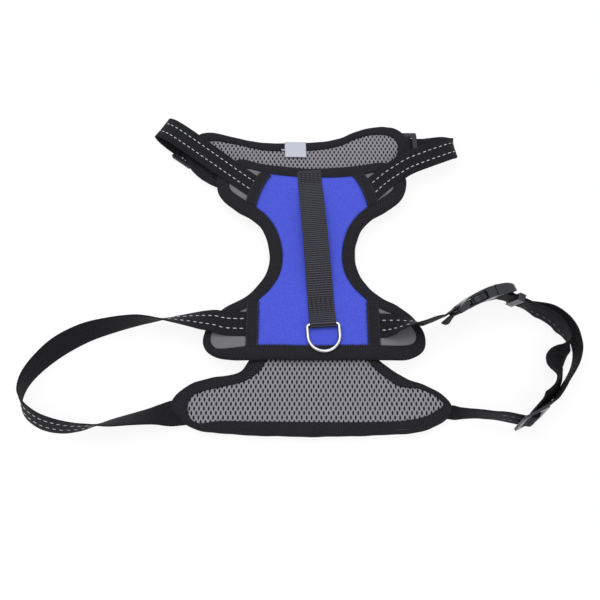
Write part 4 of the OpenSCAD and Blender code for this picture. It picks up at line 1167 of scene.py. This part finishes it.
def adjuster_strap():
    """Belly tip, slider, plug and back to the slider, in four lengths that follow these."""
    across = turned((0, 1, 0), SLIDER_ANGLES)
    at_slider = lambda pairs: [
        (SLIDER_AT + turned((x, 0, z), SLIDER_ANGLES), across) for x, z in pairs]
    lean = degrees(asin((WRAP_1 + WRAP_2) / SLIDER_PITCH))
    c, s = cos(radians(lean)), sin(radians(lean))
    tip_lead = [(WRAP_1 * s - SLIDER_PITCH - d * c, WRAP_1 * c + d * s) for d in (14, 6)]
    c, s = cos(radians(RETURN_TURN)), sin(radians(RETURN_TURN))
    return_lead = [(WRAP_1 * s + d * c, WRAP_1 * c - d * s) for d in (13, 5)]
    tip = rolled(ADJUSTER_TIP)
    through = at_slider(tip_lead + bar_arc(0, WRAP_2, 180 + lean, 180 - lean)
        + bar_arc(SLIDER_PITCH, WRAP_1, -lean, 0) + [(SLIDER_END + 1, WRAP_1 + 0.4)])
    round_bar = bar_turn(PLUG_BAR, 1, PLUG_DROP, PLUG_STRAIGHT)
    turn = [(BUCKLE_AT + buckle_dir(p), buckle_dir((0, 1, 0))) for p in round_bar]
    back = at_slider(return_lead + bar_arc(0, WRAP_1, RETURN_TURN, RETURN_TURN - RETURN_ARC, 14))
    out_run = smooth(through[-2:] + rolled(ADJUSTER_OUT) + turn[:2])
    in_run = smooth(turn[-2:] + rolled(ADJUSTER_BACK) + flat_rows(ADJUSTER_SLACK) + back[:2])
    mid_out, mid_in = 8 * SMOOTH_STEPS, 9 * SMOOTH_STEPS
    node = "adjuster_strap"
    # the dashes on this length use the darker reflective thread, which is painted shade
    strap("adjuster_tip_web", node, gathered(smooth(tip + through[:2])) + through[2:-1],
        bending((150, -162, 12), (180, -167.6, 17.9)), ((64, -10),),
        thread=SHADE_PAINTED_THREAD)
    strap("adjuster_lower_web", node, out_run[:mid_out + 1],
        bending((247, -104, 13), (210, -158, 15)), ())
    # the dashes on this length use the darker reflective thread, which is painted shade
    strap("adjuster_plug_web", node, out_run[mid_out:] + turn[2:-2] + in_run[:mid_in + 1],
        bending((246, -86, 13), (208, -54, 12.5)), ((-76, -8),),
        offsets=(5,), thread=SHADE_PAINTED_THREAD)
    strap("adjuster_return_web", node, in_run[mid_in:] + back[2:],
        bending((238, -97, 12), (203, -153, 16)), ())


# the handle: y and rise along its arch, its doubled end and back, and the boxes sewn from y to y
DOUBLE = WEB_T + WEB_GAP
HANDLE_ARCH = [(99.6, -0.9), (95, -0.2), (90, 0), (82, 0.2), (66, 3.4), (42, 7.8), (14, 9),
    (-14, 7.6), (-34, 4.4)]
HANDLE_SEWN = [(-47, DOUBLE), (-56, DOUBLE), (-65, DOUBLE + 0.2)]
HANDLE_BACK = [(-68, 0), (-58, 0), (-48, 0)]
HANDLE_BOXES = ((96.5, 85, WEB_T / 2 + 0.12), (-49, -65, DOUBLE + WEB_T / 2 + 0.12))
BOX_LINES, BOX_STITCHES, BOX_SLANT = (-9, -4.5, 0, 4.5, 9), 9, 35


def handle():
    """Lift handle: sewn flat at the neck end, arched, doubled and looped round the ring's bar."""
    slope = np.tan(radians(HANDLE_TURN))
    row = lambda y, rise: (RING_AT[0] - (y - RING_AT[1]) * slope, y, STRAP_Z + rise, HANDLE_TURN)
    angles = [radians(a) for a in HALF_TURN]
    round_ring = [(RING_AT[1] - RING_WRAP * sin(a), RING_WRAP + RING_WRAP * cos(a)) for a in angles]
    lay = lambda pairs: flat_rows([row(y, rise) for y, rise in pairs])
    stations = smooth(lay(HANDLE_ARCH + HANDLE_SEWN)) + lay(round_ring + HANDLE_BACK)
    strap("handle_webbing_web", "handle_webbing", stations, on_harness, (), material=HANDLE_WEB)
    places, along = [], []
    for y_from, y_to, rise in HANDLE_BOXES:
        for off in BOX_LINES:
            for k in range(BOX_STITCHES):
                x, y, z, _ = row(y_from + (y_to - y_from) * (k + 0.5) / BOX_STITCHES, rise)
                a = radians((BOX_SLANT if k % 2 else -BOX_SLANT) + HANDLE_TURN + 90)
                places.append((x + off, y, z))
                along.append((cos(a), sin(a), 0))
    sew("handle_tack_stitches", places, along, HANDLE_STITCH, BLACK_THREAD)


def hardware():
    """The moulded pieces and the ring keep their own solids, with finishes."""
    for node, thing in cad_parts.items():
        if not thing.hide_render:
            thing.data.materials.clear()
            thing.data.materials.append(BRIGHT_RING if node == "lead_ring" else DARK_PLASTIC)


# Stage

FLOOR_HALF, FLOOR_GLOW, FLOOR_SHARE, WORLD_LIGHT = 6000, 1.02, 0.86, 0.55
# name, place, aim, size and power of the lamps, in metres and watts
LAMPS = (("overhead", (-0.25, 0.25, 1.3), (0, 0, 0), 1.1, 11),
    ("front", (0.5, -0.9, 1.0), (0, -0.05, 0), 0.8, 4))


def seen_rays(owner):
    """1 for rays that the camera sends out, straight or by way of metal and glass."""
    path = shader_node(owner, "LightPath").outputs
    mirrored = calc(owner, "MAXIMUM", path["Is Glossy Ray"], path["Is Transmission Ray"])
    return calc(owner, "MAXIMUM", path["Is Camera Ray"], mirrored)


def floor():
    """White floor: the camera sees it almost white throughout, so the shadow on it stays faint."""
    h = FLOOR_HALF
    mat, shader = finish("white_floor", (0.93, 0.93, 0.93), 0.9)
    glow, both = shader_node(mat, "Emission", Strength=FLOOR_GLOW), shader_node(mat, "MixShader")
    seen = calc(mat, "MULTIPLY", seen_rays(mat), FLOOR_SHARE)
    for out, into in zip((seen, shader.outputs[0], glow.outputs[0]), both.inputs):
        join(mat, out, into)
    join(mat, both.outputs[0], mat.node_tree.nodes["Material Output"].inputs["Surface"])
    corners = at_height(np.array([(-h, -h), (h, -h), (h, h), (-h, h)]), FLOOR_Z)
    make_piece("white_floor", corners, [(0, 1, 2, 3)], mat)


def lights():
    """A world that looks white and lights less, and two soft lamps."""
    world = bpy.data.worlds.new("studio")
    world.use_nodes = True
    sky = world.node_tree.nodes["Background"]
    sky.inputs["Color"].default_value = (1, 1, 1, 1)
    strength = shader_node(world, "MapRange", **{"To Min": WORLD_LIGHT})
    join(world, seen_rays(world), strength.inputs["Value"])
    join(world, strength.outputs["Result"], sky.inputs["Strength"])
    bpy.context.scene.world = world
    for name, place, aim, size, power in LAMPS:
        lamp = bpy.data.lights.new(name, "AREA")
        lamp.size, lamp.energy = size, power
        holder = bpy.data.objects.new(name, lamp)
        holder.location = place
        holder.rotation_euler = (Vector(aim) - Vector(place)).to_track_quat("-Z", "Y").to_euler()
        bpy.context.collection.objects.link(holder)


def camera():
    """The photograph's view: down on the harness, tilted from upright."""
    lens = bpy.data.cameras.new("camera")
    lens.lens, lens.sensor_width = 41.4, 36
    lens.clip_start, lens.clip_end = 0.01, 50
    holder = bpy.data.objects.new("camera", lens)
    holder.location = (-0.01219, -0.33125, 0.61900)
    holder.rotation_euler = (radians(25), 0, 0)
    bpy.context.collection.objects.link(holder)
    bpy.context.scene.camera = holder


bpy.context.scene.view_settings.view_transform = "Standard"
camera()
back_panel()
chest_plate()
care_label()
facings()
binding_tacks()
neck_straps()
belly_strap()
buckle_side_strap()
adjuster_strap()
handle()
hardware()
floor()
lights()
